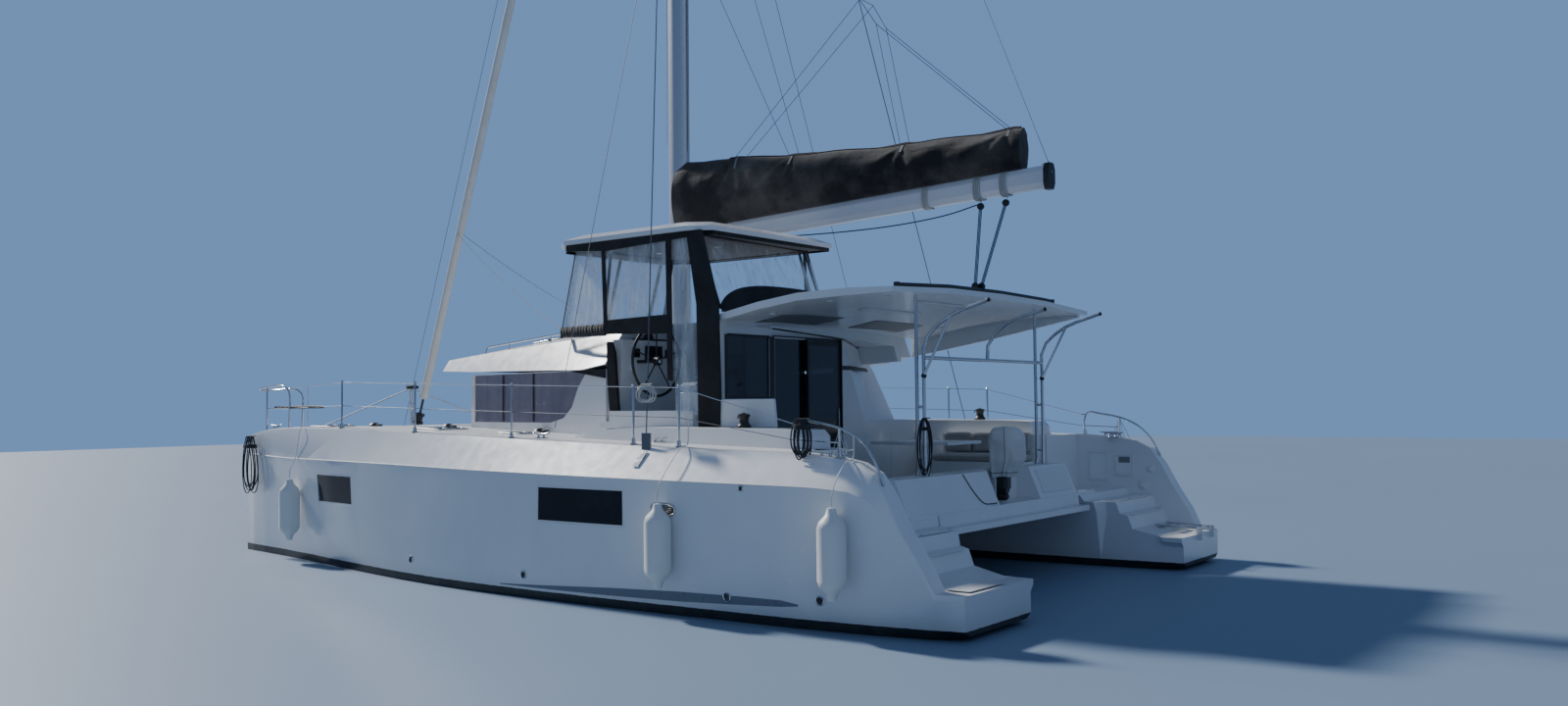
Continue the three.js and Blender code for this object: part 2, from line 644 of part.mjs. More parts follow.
function helmHardtop() {
  const at = (z, inset) => TOP_OUTLINE.map(([x, y]) => [
    x + (x > -1400 ? -inset : inset), y + (y > 1300 ? -inset : inset), z,
  ]);
  return loft([at(HELM_TOP_Z, 0), at(HELM_TOP_Z + 55, 0), at(HELM_TOP_Z + 130, 180), at(HELM_TOP_Z + 160, 560)]);
}
add('helm_hardtop', helmHardtop(), 'gelcoat');

const roofBelow = moved(roof, 0, 0, GAP);
const HELM_POSTS = [
  // foot x, foot y, foot z, head x, head y
  [-120, 560, 3150, -330, 560],
  [-110, 1700, 2990, -330, 1760],
  [-2335, 180, 3150, -2290, 180],
];

const FRAME_Z = UNDER_TOP - 24;

function helmFrame() {
  const ring = [[-330, 560], [-330, 1760], [-900, 2400], [-2380, 2440], [-2290, 180], [-600, 180]];
  const bars = ring.map(([x, y], k) => {
    const [nx, ny] = ring[(k + 1) % ring.length];
    return rod([x, y, FRAME_Z], [nx, ny, FRAME_Z], 22);
  });
  const knots = ring.map(([x, y]) => new THREE.SphereGeometry(24, 8, 6).translate(x, y, FRAME_Z));
  const posts = HELM_POSTS.map(([fx, fy, fz, hx, hy]) => rod([fx, fy, fz], [hx, hy, FRAME_Z], 20));
  return cut(join(...bars, ...knots, ...posts), roofBelow);
}
add('helm_frame', helmFrame(), 'black_plastic');

// Fabric enclosure: front, corner and side panels, lower line then upper line.
const ENCLOSURE_LOW = [[260, 420, 3050], [250, 2080, 3050], [-930, 2450, 3040], [-2020, 2500, 3040]];
const ENCLOSURE_HIGH = [[-20, 420], [-20, 2080], [-930, 2490], [-2020, 2520]];

function helmEnclosure() {
  const inward = [[-10, 0], [-9, -5], [-3, -10], [0, -10]];
  const rings = ENCLOSURE_LOW.map(([x, y, low], k) => {
    const [hx, hy] = ENCLOSURE_HIGH[k];
    const [dx, dy] = inward[k];
    return [[x, y, low], [hx, hy, UNDER_TOP], [hx + dx, hy + dy, UNDER_TOP], [x + dx, y + dy, low]];
  });
  return cut(loft(rings), roofBelow);
}
add('helm_enclosure', helmEnclosure(), 'clear_vinyl');

const curtainAt = (z, x0, x1) => [[x0, 2500, z], [x1, 2500, z], [x1, 2510, z], [x0, 2510, z]];
add('helm_curtain', loft([curtainAt(2030, -2440, -2100), curtainAt(UNDER_TOP, -2290, -2060)]), 'clear_vinyl');

function helmPillar() {
  const at = (z, x0, x1) => [[x0, 2490, z], [x1, 2490, z], [x1, 2540, z], [x0, 2540, z]];
  return loft([at(1845, -2790, -2470), at(3300, -2750, -2450), at(UNDER_TOP, -2510, -2300)]);
}
add('helm_pillar', cut(helmPillar(), deckBelow), 'black_fabric');

// Cockpit hardtop: sections from front to back, with the port front corner cut back.
const TOP_SECTIONS = [
  // x, starboard y, port y, edge z, crown above the edge, thickness
  [-2362, 2450, 2100, 3130, 60, 60],
  [-2560, 2470, 2390, 3150, 80, 70],
  [-2800, 2480, 2480, 3190, 90, 80],
  [-3300, 2490, 2500, 3280, 90, 85],
  [-3850, 2500, 2500, 3350, 80, 85],
  [-4500, 2510, 2500, 3365, 75, 80],
  [-5050, 2500, 2470, 3350, 75, 55],
];

function cockpitHardtop() {
  const rows = TOP_SECTIONS.map(([x, starboard, port, edge, crown, thick]) => [
    [x, -starboard, edge - thick], [x, -starboard * 0.5, edge - thick + crown * 0.75],
    [x, port * 0.5, edge - thick + crown * 0.75], [x, port, edge - thick],
    [x, port, edge], [x, port * 0.5, edge + crown * 0.8], [x, 0, edge + crown],
    [x, -starboard * 0.5, edge + crown * 0.8], [x, -starboard, edge],
  ]);
  const fairing = loft([
    [[-2362, -2390, 2812], [-2362, -2450, 2812], [-2362, -2450, 3100], [-2362, -2390, 3100]],
    [[-3700, -2400, 3030], [-3700, -2485, 3030], [-3700, -2485, 3300], [-3700, -2400, 3300]],
    [[-4950, -2400, 3262], [-4950, -2470, 3262], [-4950, -2470, 3320], [-4950, -2400, 3320]],
  ]);
  return join(loft(rows), fairing);
}
const hardtop = cockpitHardtop();
add('cockpit_hardtop', hardtop, 'gelcoat');

// Stainless posts, crossbar and davit tubes that carry the after end of the hardtop.
function davitFrame() {
  const aftX = POST_X - POST_PAIR;
  const side = (s) => [
    rod([POST_X, s * POST_Y, AFT_WALL_TOP + GAP], [POST_X, s * POST_Y, 3370], 21, 8),
    rod([aftX, s * POST_Y, AFT_WALL_TOP + GAP], [aftX, s * POST_Y, 2760], 21, 8),
    tube([[aftX, s * POST_Y, 2740], [aftX - 40, s * POST_Y, 2860], [-5150, s * POST_Y, 3075],
      [-5650, s * POST_Y, 3235]], 21, 6),
    rod([aftX, s * POST_Y, 2440], [-5180, s * POST_Y, 3085], 16, 8),
    rod([aftX, s * POST_Y, 1520], [POST_X, s * POST_Y, 1520], 14),
    rod([aftX, s * POST_Y, 2100], [POST_X, s * POST_Y, 2100], 14),
  ];
  const crossbar = rod([aftX, -POST_Y, 2640], [aftX, POST_Y, 2640], 21, 8);
  const middle = tube([[aftX, 0, 2640], [aftX - 20, 0, 2840], [-5080, 0, 3060], [-5600, 0, 3215]], 21, 6);
  return cut(join(...side(1), ...side(-1), crossbar, middle), moved(hardtop, 0, 0, -GAP));
}
add('davit_frame', davitFrame(), 'stainless');

// Cockpit furniture.
const bench = join(
  box(-4350, -2900, -2440, -1850, SOLE_Z + GAP, 1330),
  box(-4350, -2900, -2440, -2330, 1300, 1700),
);
add('cockpit_bench', bench, 'gelcoat');
add('cockpit_cushion', box(-4300, -2950, -2320, -1870, 1330 + GAP, 1440), 'cushion');
add('cockpit_table', join(
  box(-3950, -2780, -1500, -600, 1595, 1635),
  rod([-3365, -1050, SOLE_Z + GAP], [-3365, -1050, 1600], 60, 8),
  box(-3565, -3165, -1250, -850, SOLE_Z + GAP, SOLE_Z + 20),
), 'gelcoat');

// Forward crossbeam with its striker, the longeron and the two nets.
const BEAM = { x: 6000, z: 1600, r: 75 };
const STRIKER = { x: 6145, z: 2490 };

function crossbeam() {
  const beam = rod([BEAM.x, -2790, BEAM.z], [BEAM.x, 2790, BEAM.z], BEAM.r, 12);
  const bracket = box(BEAM.x, STRIKER.x + 40, -35, 35, BEAM.z - 35, BEAM.z + 35);
  const post = rod([STRIKER.x, 0, BEAM.z], [STRIKER.x + 55, 0, STRIKER.z], 28, 8);
  const arms = [1, -1].map((s) => rod([BEAM.x, s * 2350, BEAM.z + 60], [STRIKER.x + 55, 0, STRIKER.z - 15], 12));
  const plate = rod([STRIKER.x + 55, 0, STRIKER.z - 30], [STRIKER.x + 55, 0, STRIKER.z + 40], 90, 12);
  const tack = box(BEAM.x - 40, BEAM.x + 80, -30, 30, BEAM.z, 1760);
  return cut(join(beam, bracket, post, plate, tack, ...arms), moved(hull, 0, -GAP, 0), moved(hull, -GAP, 0, 0),
    moved(hull, 0, 0, GAP), moved(mirror(hull), 0, GAP, 0), moved(mirror(hull), -GAP, 0, 0),
    moved(mirror(hull), 0, 0, GAP));
}
const beamPiece = crossbeam();
add('crossbeam', beamPiece, 'aluminium');

const longeron = cut(
  join(
    box(3890, 6080, -110, 110, 1400, 1535),
    box(6000, 6500, -60, 60, 1430, 1520),
    rod([6460, -75, 1540], [6460, 75, 1540], 50, 10),
  ),
  moved(bridge, GAP, 0, 0),
  moved(beamPiece, 0, 0, -GAP),
);
add('longeron', longeron, 'aluminium');

function trampoline() {
  const net = prism(2, [[3970, 125], [3970, 2240], [5870, 2600], [5905, 125]], 1540, 1552);
  return cut(net, moved(bridge, GAP, 0, 0), moved(hull, 0, -GAP, 0), moved(hull, -GAP, 0, 0),
    moved(beamPiece, -GAP, 0, 0), moved(beamPiece, 0, 0, -GAP));
}
add('trampoline_port', trampoline(), 'net');
add('trampoline_starboard', mirror(trampoline()), 'net');

// Rails: bow pulpits, side guardrails and stern rails.
const RAIL_R = 13;
const LIFELINE_R = 5;
const RAIL_HEIGHT = 620;

function pulpit() {
  const outer = tube([[4950, 3060, 1850], [4955, 3060, 2380], [5080, 3055, 2470], [5700, 2960, 2470],
    [6000, 2900, 2440], [6050, 2800, 2430], [5900, 2740, 2430], [5400, 2660, 2430], [5290, 2640, 2350],
    [5280, 2640, 1850]], RAIL_R, 40);
  const post = rod([5700, 2960, 1800], [5700, 2960, 2470], RAIL_R);
  const low = rod([4955, 3060, 2150], [5700, 2960, 2150], 8);
  return cut(join(outer, post, low), moved(hull, 0, 0, GAP));
}
add('pulpit_port', pulpit(), 'stainless');
add('pulpit_starboard', mirror(pulpit()), 'stainless');

const STANCHIONS = [[3350, 3260], [1600, 3370], [-350, 3460], [-2355, 3490], [-3015, 3490]];
const LINE_FRONT = [4935, 3060, 2440];
const RAIL_EYE = { x: -4590, y: 3490, z: 1950, r: 9, long: 70 };
const LINE_BACK = [RAIL_EYE.x + RAIL_EYE.long + 2, RAIL_EYE.y, RAIL_EYE.z];

function deckZ(x) {
  const ahead = HULL_STATIONS.findIndex((row) => row[0] >= x);
  const [low, high] = [HULL_STATIONS[ahead - 1], HULL_STATIONS[ahead]];
  return between(low[1], high[1], (x - low[0]) / (high[0] - low[0]));
}

const STERN_RAIL = [
  [-4560, 3490, 1650], [-4560, 3490, 1900], [-4610, 3490, 1985], [-4780, 3492, 1965], [-5070, 3500, 1910],
  [-5320, 3520, 1800], [-5480, 3555, 1640], [-5620, 3590, 1380],
];

function sternRail() {
  const top = tube(STERN_RAIL, RAIL_R, 24);
  const post = rod([-5070, 3500, 1560], [-5070, 3500, 1910], RAIL_R);
  const low = rod([-4560, 3490, 1790], [-5070, 3500, 1770], 8);
  const eye = rod([RAIL_EYE.x, RAIL_EYE.y, RAIL_EYE.z], [RAIL_EYE.x + RAIL_EYE.long, RAIL_EYE.y, RAIL_EYE.z],
    RAIL_EYE.r);
  return cut(join(top, post, low, eye), moved(hull, 0, 0, GAP));
}

function guardrail() {
  const heads = STANCHIONS.map(([x, y]) => [x, y, deckZ(x) + RAIL_HEIGHT]);
  const points = [LINE_FRONT, ...heads, LINE_BACK];
  const posts = STANCHIONS.map(([x, y]) => (
    rod([x, y, deckZ(x) - 20], [x, y, deckZ(x) + RAIL_HEIGHT + 10], RAIL_R)));
  const lines = points.slice(1).map((p, k) => rod(points[k], p, LIFELINE_R));
  return cut(join(...posts, ...lines), moved(hull, 0, 0, GAP));
}
const wires = guardrail();
const aftRail = sternRail();
const rails = join(wires, aftRail);
add('guardrail_port', wires, 'stainless');
add('guardrail_starboard', mirror(wires), 'stainless');
add('stern_rail_port', aftRail, 'stainless');
add('stern_rail_starboard', mirror(aftRail), 'stainless');

// Mast with gooseneck lugs and two pairs of swept spreaders.
const SPREADERS = [[8900, 1250, 620], [13600, 900, 450]];

function ellipse(cx, cy, long, wide, z, sides = 14) {
  return Array.from({ length: sides }, (_, k) => {
    const angle = (2 * Math.PI * k) / sides;
    return [cx + (long / 2) * Math.cos(angle), cy + (wide / 2) * Math.sin(angle), z];
  });
}

function mast() {
  const tubePiece = loft([
    ellipse(MAST.x, 0, MAST.long, MAST.wide, 3100),
    ellipse(MAST.x, 0, MAST.long, MAST.wide, 16000),
    ellipse(MAST.x, 0, MAST.long * 0.6, MAST.wide * 0.8, MAST.top),
  ]);
  const lugs = [-70, 46].map((dz) => (
    box(GOOSENECK.x - 40, MAST.x - 140, -40, 40, GOOSENECK.z + dz, GOOSENECK.z + dz + 24)));
  const pin = rod([GOOSENECK.x, 0, GOOSENECK.z - 60], [GOOSENECK.x, 0, GOOSENECK.z + 60], GOOSENECK.pin, 12);
  const spreaders = SPREADERS.flatMap(([z, out, back]) => [1, -1].map((s) => rod(
    [MAST.x - 60, s * 60, z],
    [MAST.x - back, s * out, z + 60],
    26,
  )));
  const aerial = rod([MAST.x, 0, MAST.top - 10], [MAST.x, 0, MAST.top + 600], 6);
  return cut(join(tubePiece, ...lugs, pin, ...spreaders, aerial), roofBelow);
}
const spar = mast();
add('mast', spar, 'aluminium');

// Boom: it rises slightly towards its after end.
const BOOM = { front: -500, back: -5620, frontZ: 4505, slope: 0.049, tall: 260, wide: 150 };
const boomZ = (x) => BOOM.frontZ + (BOOM.front - x) * BOOM.slope;

function boomRing(x, tall, wide) {
  const z = boomZ(x);
  const shape = [[0.3, 0.5], [0.5, 0.25], [0.5, -0.25], [0.3, -0.5], [-0.3, -0.5], [-0.5, -0.25], [-0.5, 0.25],
    [-0.3, 0.5]];
  return shape.map(([a, b]) => [x, a * wide, z + b * tall]);
}

function boom() {
  const spar = loft([boomRing(BOOM.front, BOOM.tall, BOOM.wide), boomRing(BOOM.back, BOOM.tall, BOOM.wide)]);
  const eye = rod([GOOSENECK.x, 0, GOOSENECK.z - 44], [GOOSENECK.x, 0, GOOSENECK.z + 44], 34, 12);
  const tang = box(BOOM.front - 30, GOOSENECK.x, -25, 25, GOOSENECK.z - 44, GOOSENECK.z + 44);
  const bore = rod([GOOSENECK.x, 0, GOOSENECK.z - 90], [GOOSENECK.x, 0, GOOSENECK.z + 90], GOOSENECK.pin + 1, 12);
  const capRing = (x) => boomRing(x, BOOM.tall + 40, BOOM.wide + 24);
  const cap = loft([capRing(BOOM.back + 5), capRing(BOOM.back - 90)]);
  return cut(join(spar, eye, tang, cap), bore);
}
add('boom', boom(), 'aluminium');

// Sail bag on the boom: [x, top z, half width].
const BAG_ROWS = [
  [-470, 5590, 130], [-900, 5540, 190], [-2660, 5410, 200], [-4130, 5370, 190], [-5400, 5330, 120],
];

function sailBag() {
  return loft(BAG_ROWS.map(([x, top, half]) => {
    const low = boomZ(x) + BOOM.tall / 2 + GAP;
    const flank = between(low, top, 0.45);
    return [
      [x, half * 0.45, low], [x, half, flank], [x, half * 0.75, top - 120], [x, half * 0.15, top],
      [x, -half * 0.15, top], [x, -half * 0.75, top - 120], [x, -half, flank], [x, -half * 0.45, low],
    ];
  }));
}
add('sail_bag', sailBag(), 'canvas');

// Furled jib on its stay, with the drum below it.
const stayAt = (z) => [between(FORESTAY_X, MAST.x + 190, (z - 1820) / (HOUNDS_Z - 1820)), 0, z];

const drum = join(
  rod(stayAt(1740), stayAt(2300), 20, 8),
  rod(stayAt(1880), stayAt(1905), 85, 14),
  rod(stayAt(1905), stayAt(2010), 60, 12),
  rod(stayAt(2010), stayAt(2035), 85, 14),
);
add('jib_drum', cut(drum, box(5900, 6130, -60, 60, 1700, 1760 + GAP)), 'black_plastic');
add('furled_jib', join(
  rod(stayAt(2300 + GAP), stayAt(17300), 68, 10),
  rod(stayAt(17200), stayAt(18360), 18, 6),
), 'sail_white');

// Cap shroud on each side with its chainplate.
function capShroud() {
  const wire = rod([CHAINPLATE.x, CHAINPLATE.y, CHAINPLATE.z + 40], [MAST.x - 90, 95, HOUNDS_Z], 7);
  const plate = box(CHAINPLATE.x - 60, CHAINPLATE.x + 60, CHAINPLATE.y - 12, CHAINPLATE.y + 12, 1600, 1850);
  return cut(join(wire, plate), moved(hull, 0, 0, GAP), hull, moved(spar, 0, GAP, 0), moved(spar, -GAP, 0, 0), spar);
}
const shroud = capShroud();
add('shroud_port', shroud, 'stainless');
add('shroud_starboard', mirror(shroud), 'stainless');

// Saildrive legs, propellers and rudders.
const drive = join(
  loft([
    foil(-500 - GAP, DRIVE.x + 200, DRIVE.x - 200, 130, HULL_Y),
    foil(DRIVE.shaft, DRIVE.x + 150, DRIVE.x - 170, 90, HULL_Y),
  ]),
  turned([[0, 0], [40, 20], [70, 110], [70, 330], [50, 420 - GAP], [0, 420 - GAP]],
    [DRIVE.x + 180, HULL_Y, DRIVE.shaft], [-1, 0, 0], 10),
);
add('saildrive_port', drive, 'black_plastic');
add('saildrive_starboard', mirror(drive), 'black_plastic');

function propeller() {
  const hub = turned([[0, 0], [45, 0], [45, 80], [20, 120], [0, 125]], [0, 0, 0], [-1, 0, 0], 10);
  const blades = [0, 1, 2].map((k) => {
    const ring = (r, half, twist, thick) => [[-1, -1], [1, -1], [1, 1], [-1, 1]].map(([a, b]) => [
      -45 + a * half * Math.sin(twist) + b * thick * Math.cos(twist),
      a * half * Math.cos(twist) - b * thick * Math.sin(twist),
      r,
    ]);
    const blade = loft([
      ring(25, 30, 0.9, 6), ring(130, 58, 0.6, 5), ring(205, 40, 0.45, 3), ring(228, 14, 0.4, 3),
    ]);
    return blade.rotateX((2 * Math.PI * k) / 3);
  });
  return join(hub, ...blades);
}
const screw = moved(propeller(), DRIVE.x + 180 - 420 - GAP, HULL_Y, DRIVE.shaft);
add('propeller_port', screw, 'bronze');
add('propeller_starboard', mirror(screw), 'bronze');

const rudder = join(
  loft([
    foil(RUDDER.top - 12, RUDDER.x + 180, RUDDER.x - 360, 90, HULL_Y),
    foil(RUDDER.low, RUDDER.x + 120, RUDDER.x - 260, 55, HULL_Y),
  ]),
  rod([RUDDER.x, HULL_Y, RUDDER.low + 200], [RUDDER.x, HULL_Y, RUDDER.top], 30, 10),
);
add('rudder_port', rudder, 'bottom_paint');
add('rudder_starboard', mirror(rudder), 'bottom_paint');

// Swim ladder, folded onto the starboard platform.
function swimLadder() {
  const rails = [LADDER.y0, LADDER.y1].map((y) => join(
    rod([LADDER.x + 10, y, LADDER.z + 6], [LADDER.x + LADDER.length, y, LADDER.z + 40], LADDER.tube, 8),
    rod([LADDER.x, y - 12, LADDER.z], [LADDER.x, y + 12, LADDER.z], 17, 8),
  ));
  const rungs = [150, 350, 550].map((d) => box(LADDER.x + d - 30, LADDER.x + d + 30, LADDER.y0, LADDER.y1,
    LADDER.z + d * 0.045 - 4, LADDER.z + d * 0.045 + 14));
  const bore = rod([LADDER.x, LADDER.y0 - 60, LADDER.z], [LADDER.x, LADDER.y1 + 60, LADDER.z],
    LADDER.pin + 0.6, 12);
  return cut(join(...rails, ...rungs), bore);
}
add('swim_ladder', swimLadder(), 'stainless');

// Fenders on their lines along the port side: name, x, low z.
const FENDERS = [['fender_1', 4350, 300], ['fender_2', -3150, 290], ['fender_3', -5250, 330]];
const FENDER = { r: 140, long: 860, line: 7 };

// Height, offset and radius of the rail or wire over a station.
function railAt(x) {
  const points = [LINE_FRONT, ...STANCHIONS.map(([sx, sy]) => [sx, sy, deckZ(sx) + RAIL_HEIGHT]), LINE_BACK,
    ...STERN_RAIL.slice(2)];
  const behind = points.findIndex((p) => p[0] <= x);
  const [a, b] = [points[behind - 1], points[behind]];
  const t = (x - a[0]) / (b[0] - a[0]);
  return [between(a[1], b[1], t), between(a[2], b[2], t), x < LINE_BACK[0] ? RAIL_R : LIFELINE_R];
}

function fender(x, low) {
  const body = FENDER.long;
  const y = Math.max(hullSkinY(x, 1000), hullSkinY(x, low + 200), hullSkinY(x, low + body - 100)) + FENDER.r + 4;
  const profile = [[0, 0], [40, 5], [60, 70], [FENDER.r * 0.85, 130], [FENDER.r, 190], [FENDER.r, body - 190],
    [FENDER.r * 0.85, body - 130], [60, body - 70], [40, body - 5], [0, body]];
  const deck = deckZ(x) + FENDER.line + 0.4;
  const [railY, railZ, railR] = railAt(x);
  const headY = railY + FENDER.line + railR - 3;
  const line = tube([[x, y, low + body - 20], [x, y - 10, 1300], [x, hullSkinY(x, 1400) + 18, 1460],
    [x, headY + 90, deck + 4], [x, headY + 30, deck], [x, headY + 4, deck + 40], [x, headY, Math.min(deck + 300, railZ - 60)],
    [x, headY, railZ + 10]], FENDER.line, 24, 6);
  return cut(join(turned(profile, [x, y, low], [0, 0, 1], 14), line), moved(hull, 0, 0, GAP),
    moved(hull, 0, GAP, 0), hull, rails, moved(rails, 0, GAP, 0));
}
FENDERS.forEach(([name, x, low]) => add(name, fender(x, low), 'fender'));

// Covered outboard on the after wall and the locker beside it.
const COVER_ROWS = [
  // z, aft x, front x, starboard y, port y
  [SOLE_Z + GAP, -5060, -4900, -190, 10],
  [1180, -5060, -4900, -190, 10],
  [1290, -5110, -4870, -240, 60],
  [1450, -5225, -4850, -320, 140],
  [1720, -5225, -4850, -330, 150],
  [1850, -5150, -4890, -270, 90],
];
add('outboard_cover', loft(COVER_ROWS.map(([z, x0, x1, y0, y1]) => (
  [[x0, y0, z], [x1, y0, z], [x1, y1, z], [x0, y1, z]]))), 'sail_white');

export default model;
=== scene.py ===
"""The looks of a sailing catamaran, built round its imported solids. Metres; +X bows, +Y port, +Z up."""
import math

import bmesh
import bpy
from mathutils import Matrix, Vector
from mathutils.bvhtree import BVHTree


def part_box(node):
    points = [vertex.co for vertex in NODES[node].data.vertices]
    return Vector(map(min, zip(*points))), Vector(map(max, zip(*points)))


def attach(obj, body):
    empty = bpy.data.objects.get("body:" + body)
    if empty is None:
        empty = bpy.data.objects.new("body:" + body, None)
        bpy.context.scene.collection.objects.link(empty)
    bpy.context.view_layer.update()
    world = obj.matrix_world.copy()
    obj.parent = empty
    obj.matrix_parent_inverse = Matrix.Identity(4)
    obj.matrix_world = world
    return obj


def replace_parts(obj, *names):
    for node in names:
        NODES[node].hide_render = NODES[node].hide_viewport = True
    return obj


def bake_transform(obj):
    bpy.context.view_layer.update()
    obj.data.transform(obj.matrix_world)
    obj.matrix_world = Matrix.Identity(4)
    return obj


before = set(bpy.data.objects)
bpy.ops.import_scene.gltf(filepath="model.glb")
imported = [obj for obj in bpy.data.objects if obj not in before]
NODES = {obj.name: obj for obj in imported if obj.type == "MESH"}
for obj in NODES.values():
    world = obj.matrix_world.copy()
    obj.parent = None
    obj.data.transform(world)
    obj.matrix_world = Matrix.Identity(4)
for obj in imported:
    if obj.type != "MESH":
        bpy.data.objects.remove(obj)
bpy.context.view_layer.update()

SCENE = bpy.context.scene
HULK = "platform"
UP = Vector((0, 0, 1))

# Camera at the photograph's viewpoint.
CAMERA_AT = (-11.839, 13.475, 2.154)
YAW, PITCH, ROLL = -0.931, 0.040, -0.010
LENS, SENSOR = 28.8, 36.0


def add_camera():
    forward = Vector((math.cos(YAW) * math.cos(PITCH), math.sin(YAW) * math.cos(PITCH), math.sin(PITCH)))
    side = forward.cross(UP).normalized()
    top = side.cross(forward)
    right = math.cos(ROLL) * side + math.sin(ROLL) * top
    up = math.cos(ROLL) * top - math.sin(ROLL) * side
    data = bpy.data.cameras.new("camera")
    data.lens, data.sensor_width = LENS, SENSOR
    data.clip_start, data.clip_end = 0.1, 2000
    camera = bpy.data.objects.new("camera", data)
    camera.matrix_world = Matrix.Translation(CAMERA_AT) @ Matrix((right, up, -forward)).transposed().to_4x4()
    SCENE.collection.objects.link(camera)
    SCENE.camera = camera


# Node materials.
class Nodes:
    """A material's node tree, with the few nodes that the looks here are made of."""

    def __init__(self, name, color, roughness, metallic=0.0, coat=0.0, sheen=0.0, alpha=1.0, specular=0.5):
        self.material = bpy.data.materials.new(name)
        self.material.use_nodes = True
        self.tree = self.material.node_tree
        self.shader = self.tree.nodes["Principled BSDF"]
        values = {"Base Color": (*color, 1), "Roughness": roughness, "Metallic": metallic, "Alpha": alpha,
                  "Coat Weight": coat, "Coat Roughness": 0.08, "Sheen Weight": sheen,
                  "Specular IOR Level": specular}
        for key, value in values.items():
            self.shader.inputs[key].default_value = value
        self.where = self.add("ShaderNodeTexCoord").outputs["Object"]

    def add(self, kind, **inputs):
        node = self.tree.nodes.new(kind)
        for key, value in inputs.items():
            self.put(node.inputs[key], value)
        return node

    def put(self, socket, value):
        if isinstance(value, bpy.types.NodeSocket):
            self.tree.links.new(value, socket)
        else:
            socket.default_value = value

    def stretched(self, x, y, z):
        return self.add("ShaderNodeMapping", Vector=self.where, Scale=(x, y, z)).outputs["Vector"]

    def noise(self, scale, detail, rough=0.55, where=None):
        return self.add("ShaderNodeTexNoise", Vector=where or self.where, Scale=scale, Detail=detail,
                        Roughness=rough).outputs["Fac"]

    def wave(self, scale, direction, distortion=0.0):
        node = self.add("ShaderNodeTexWave", Vector=self.where, Scale=scale, Distortion=distortion)
        node.bands_direction = direction
        return node.outputs["Fac"]

    def math(self, operation, a, b=0.0, c=0.0):
        node = self.tree.nodes.new("ShaderNodeMath")
        node.operation = operation
        for socket, value in zip(node.inputs, (a, b, c)):
            self.put(socket, value)
        return node.outputs[0]

    def ramp(self, value, low, high):
        node = self.add("ShaderNodeValToRGB", Fac=value)
        for element, position in zip(node.color_ramp.elements, (low, high)):
            element.position = position
        return node.outputs["Color"]

    def mix(self, amount, a, b):
        node = self.tree.nodes.new("ShaderNodeMix")
        node.data_type = "RGBA"
        self.put(node.inputs["Factor"], amount)
        for key, value in (("A", a), ("B", b)):
            self.put(node.inputs[key], value if isinstance(value, bpy.types.NodeSocket) else (*value, 1))
        return node.outputs["Result"]

    def axis(self, name, source=None):
        return self.add("ShaderNodeSeparateXYZ", Vector=source or self.where).outputs[name]

    def facing_up(self):
        normal = self.add("ShaderNodeNewGeometry").outputs["Normal"]
        return self.ramp(self.axis("Z", normal), 0.85, 0.97)

    def bump(self, height, strength, distance, under=None):
        node = self.add("ShaderNodeBump", Height=height, Strength=strength, Distance=distance)
        if under is not None:
            self.put(node.inputs["Normal"], under)
        return node.outputs["Normal"]

    def paint(self, color, roughness, normal=None, alpha=None):
        looks = (("Base Color", color), ("Roughness", roughness), ("Normal", normal), ("Alpha", alpha))
        for key, value in looks:
            if value is not None:
                self.put(self.shader.inputs[key], value)
        return self.material


def shaded(color, amount):
    return tuple(min(1.0, c * amount) for c in color)


def gelcoat(name, color, roughness=0.24, paint_line=None, deck=None):
    """Glossy moulded skin, faintly weathered, with a grip pattern on top and paint under the waterline."""
    n = Nodes(name, color, roughness, coat=0.35)
    cloudy = n.ramp(n.noise(1.3, 5), 0.35, 0.7)
    skin = n.mix(cloudy, color, shaded(color, 0.94))
    runs = n.ramp(n.noise(2.2, 6, 0.7, n.stretched(5.5, 5.5, 0.5)), 0.60, 0.80)
    skin = n.mix(n.math("MULTIPLY", runs, 0.10), skin, (0.52, 0.50, 0.45))
    rough = n.math("MULTIPLY_ADD", n.noise(7, 4), 0.16, roughness - 0.08)
    normal = n.bump(n.noise(0.9, 2), 0.10, 0.01)
    if deck:
        up = n.facing_up()
        grip = n.math("MULTIPLY", n.wave(62, "X"), n.wave(62, "Y"))
        skin = n.mix(up, skin, deck)
        rough = n.math("MAXIMUM", rough, n.math("MULTIPLY", up, 0.62))
        normal = n.bump(n.math("MULTIPLY", grip, up), 0.25, 0.0012, normal)
    if paint_line is not None:
        z = n.axis("Z")
        edge = n.math("MULTIPLY_ADD", n.noise(9, 3), 0.012, paint_line - 0.006)
        below = n.math("LESS_THAN", z, edge)
        uneven = n.math("ADD", z, n.math("MULTIPLY", n.noise(4, 5), 0.05))
        scum = n.ramp(uneven, paint_line + 0.02, paint_line + 0.17)
        skin = n.mix(n.math("MULTIPLY", n.math("SUBTRACT", 1.0, scum), 0.22), skin, (0.44, 0.43, 0.34))
        bottom = n.mix(n.ramp(n.noise(6, 6), 0.3, 0.7), (0.012, 0.014, 0.018), (0.035, 0.040, 0.040))
        skin = n.mix(below, skin, bottom)
        rough = n.math("MAXIMUM", rough, n.math("MULTIPLY", below, 0.78))
    return n.paint(skin, rough, normal)


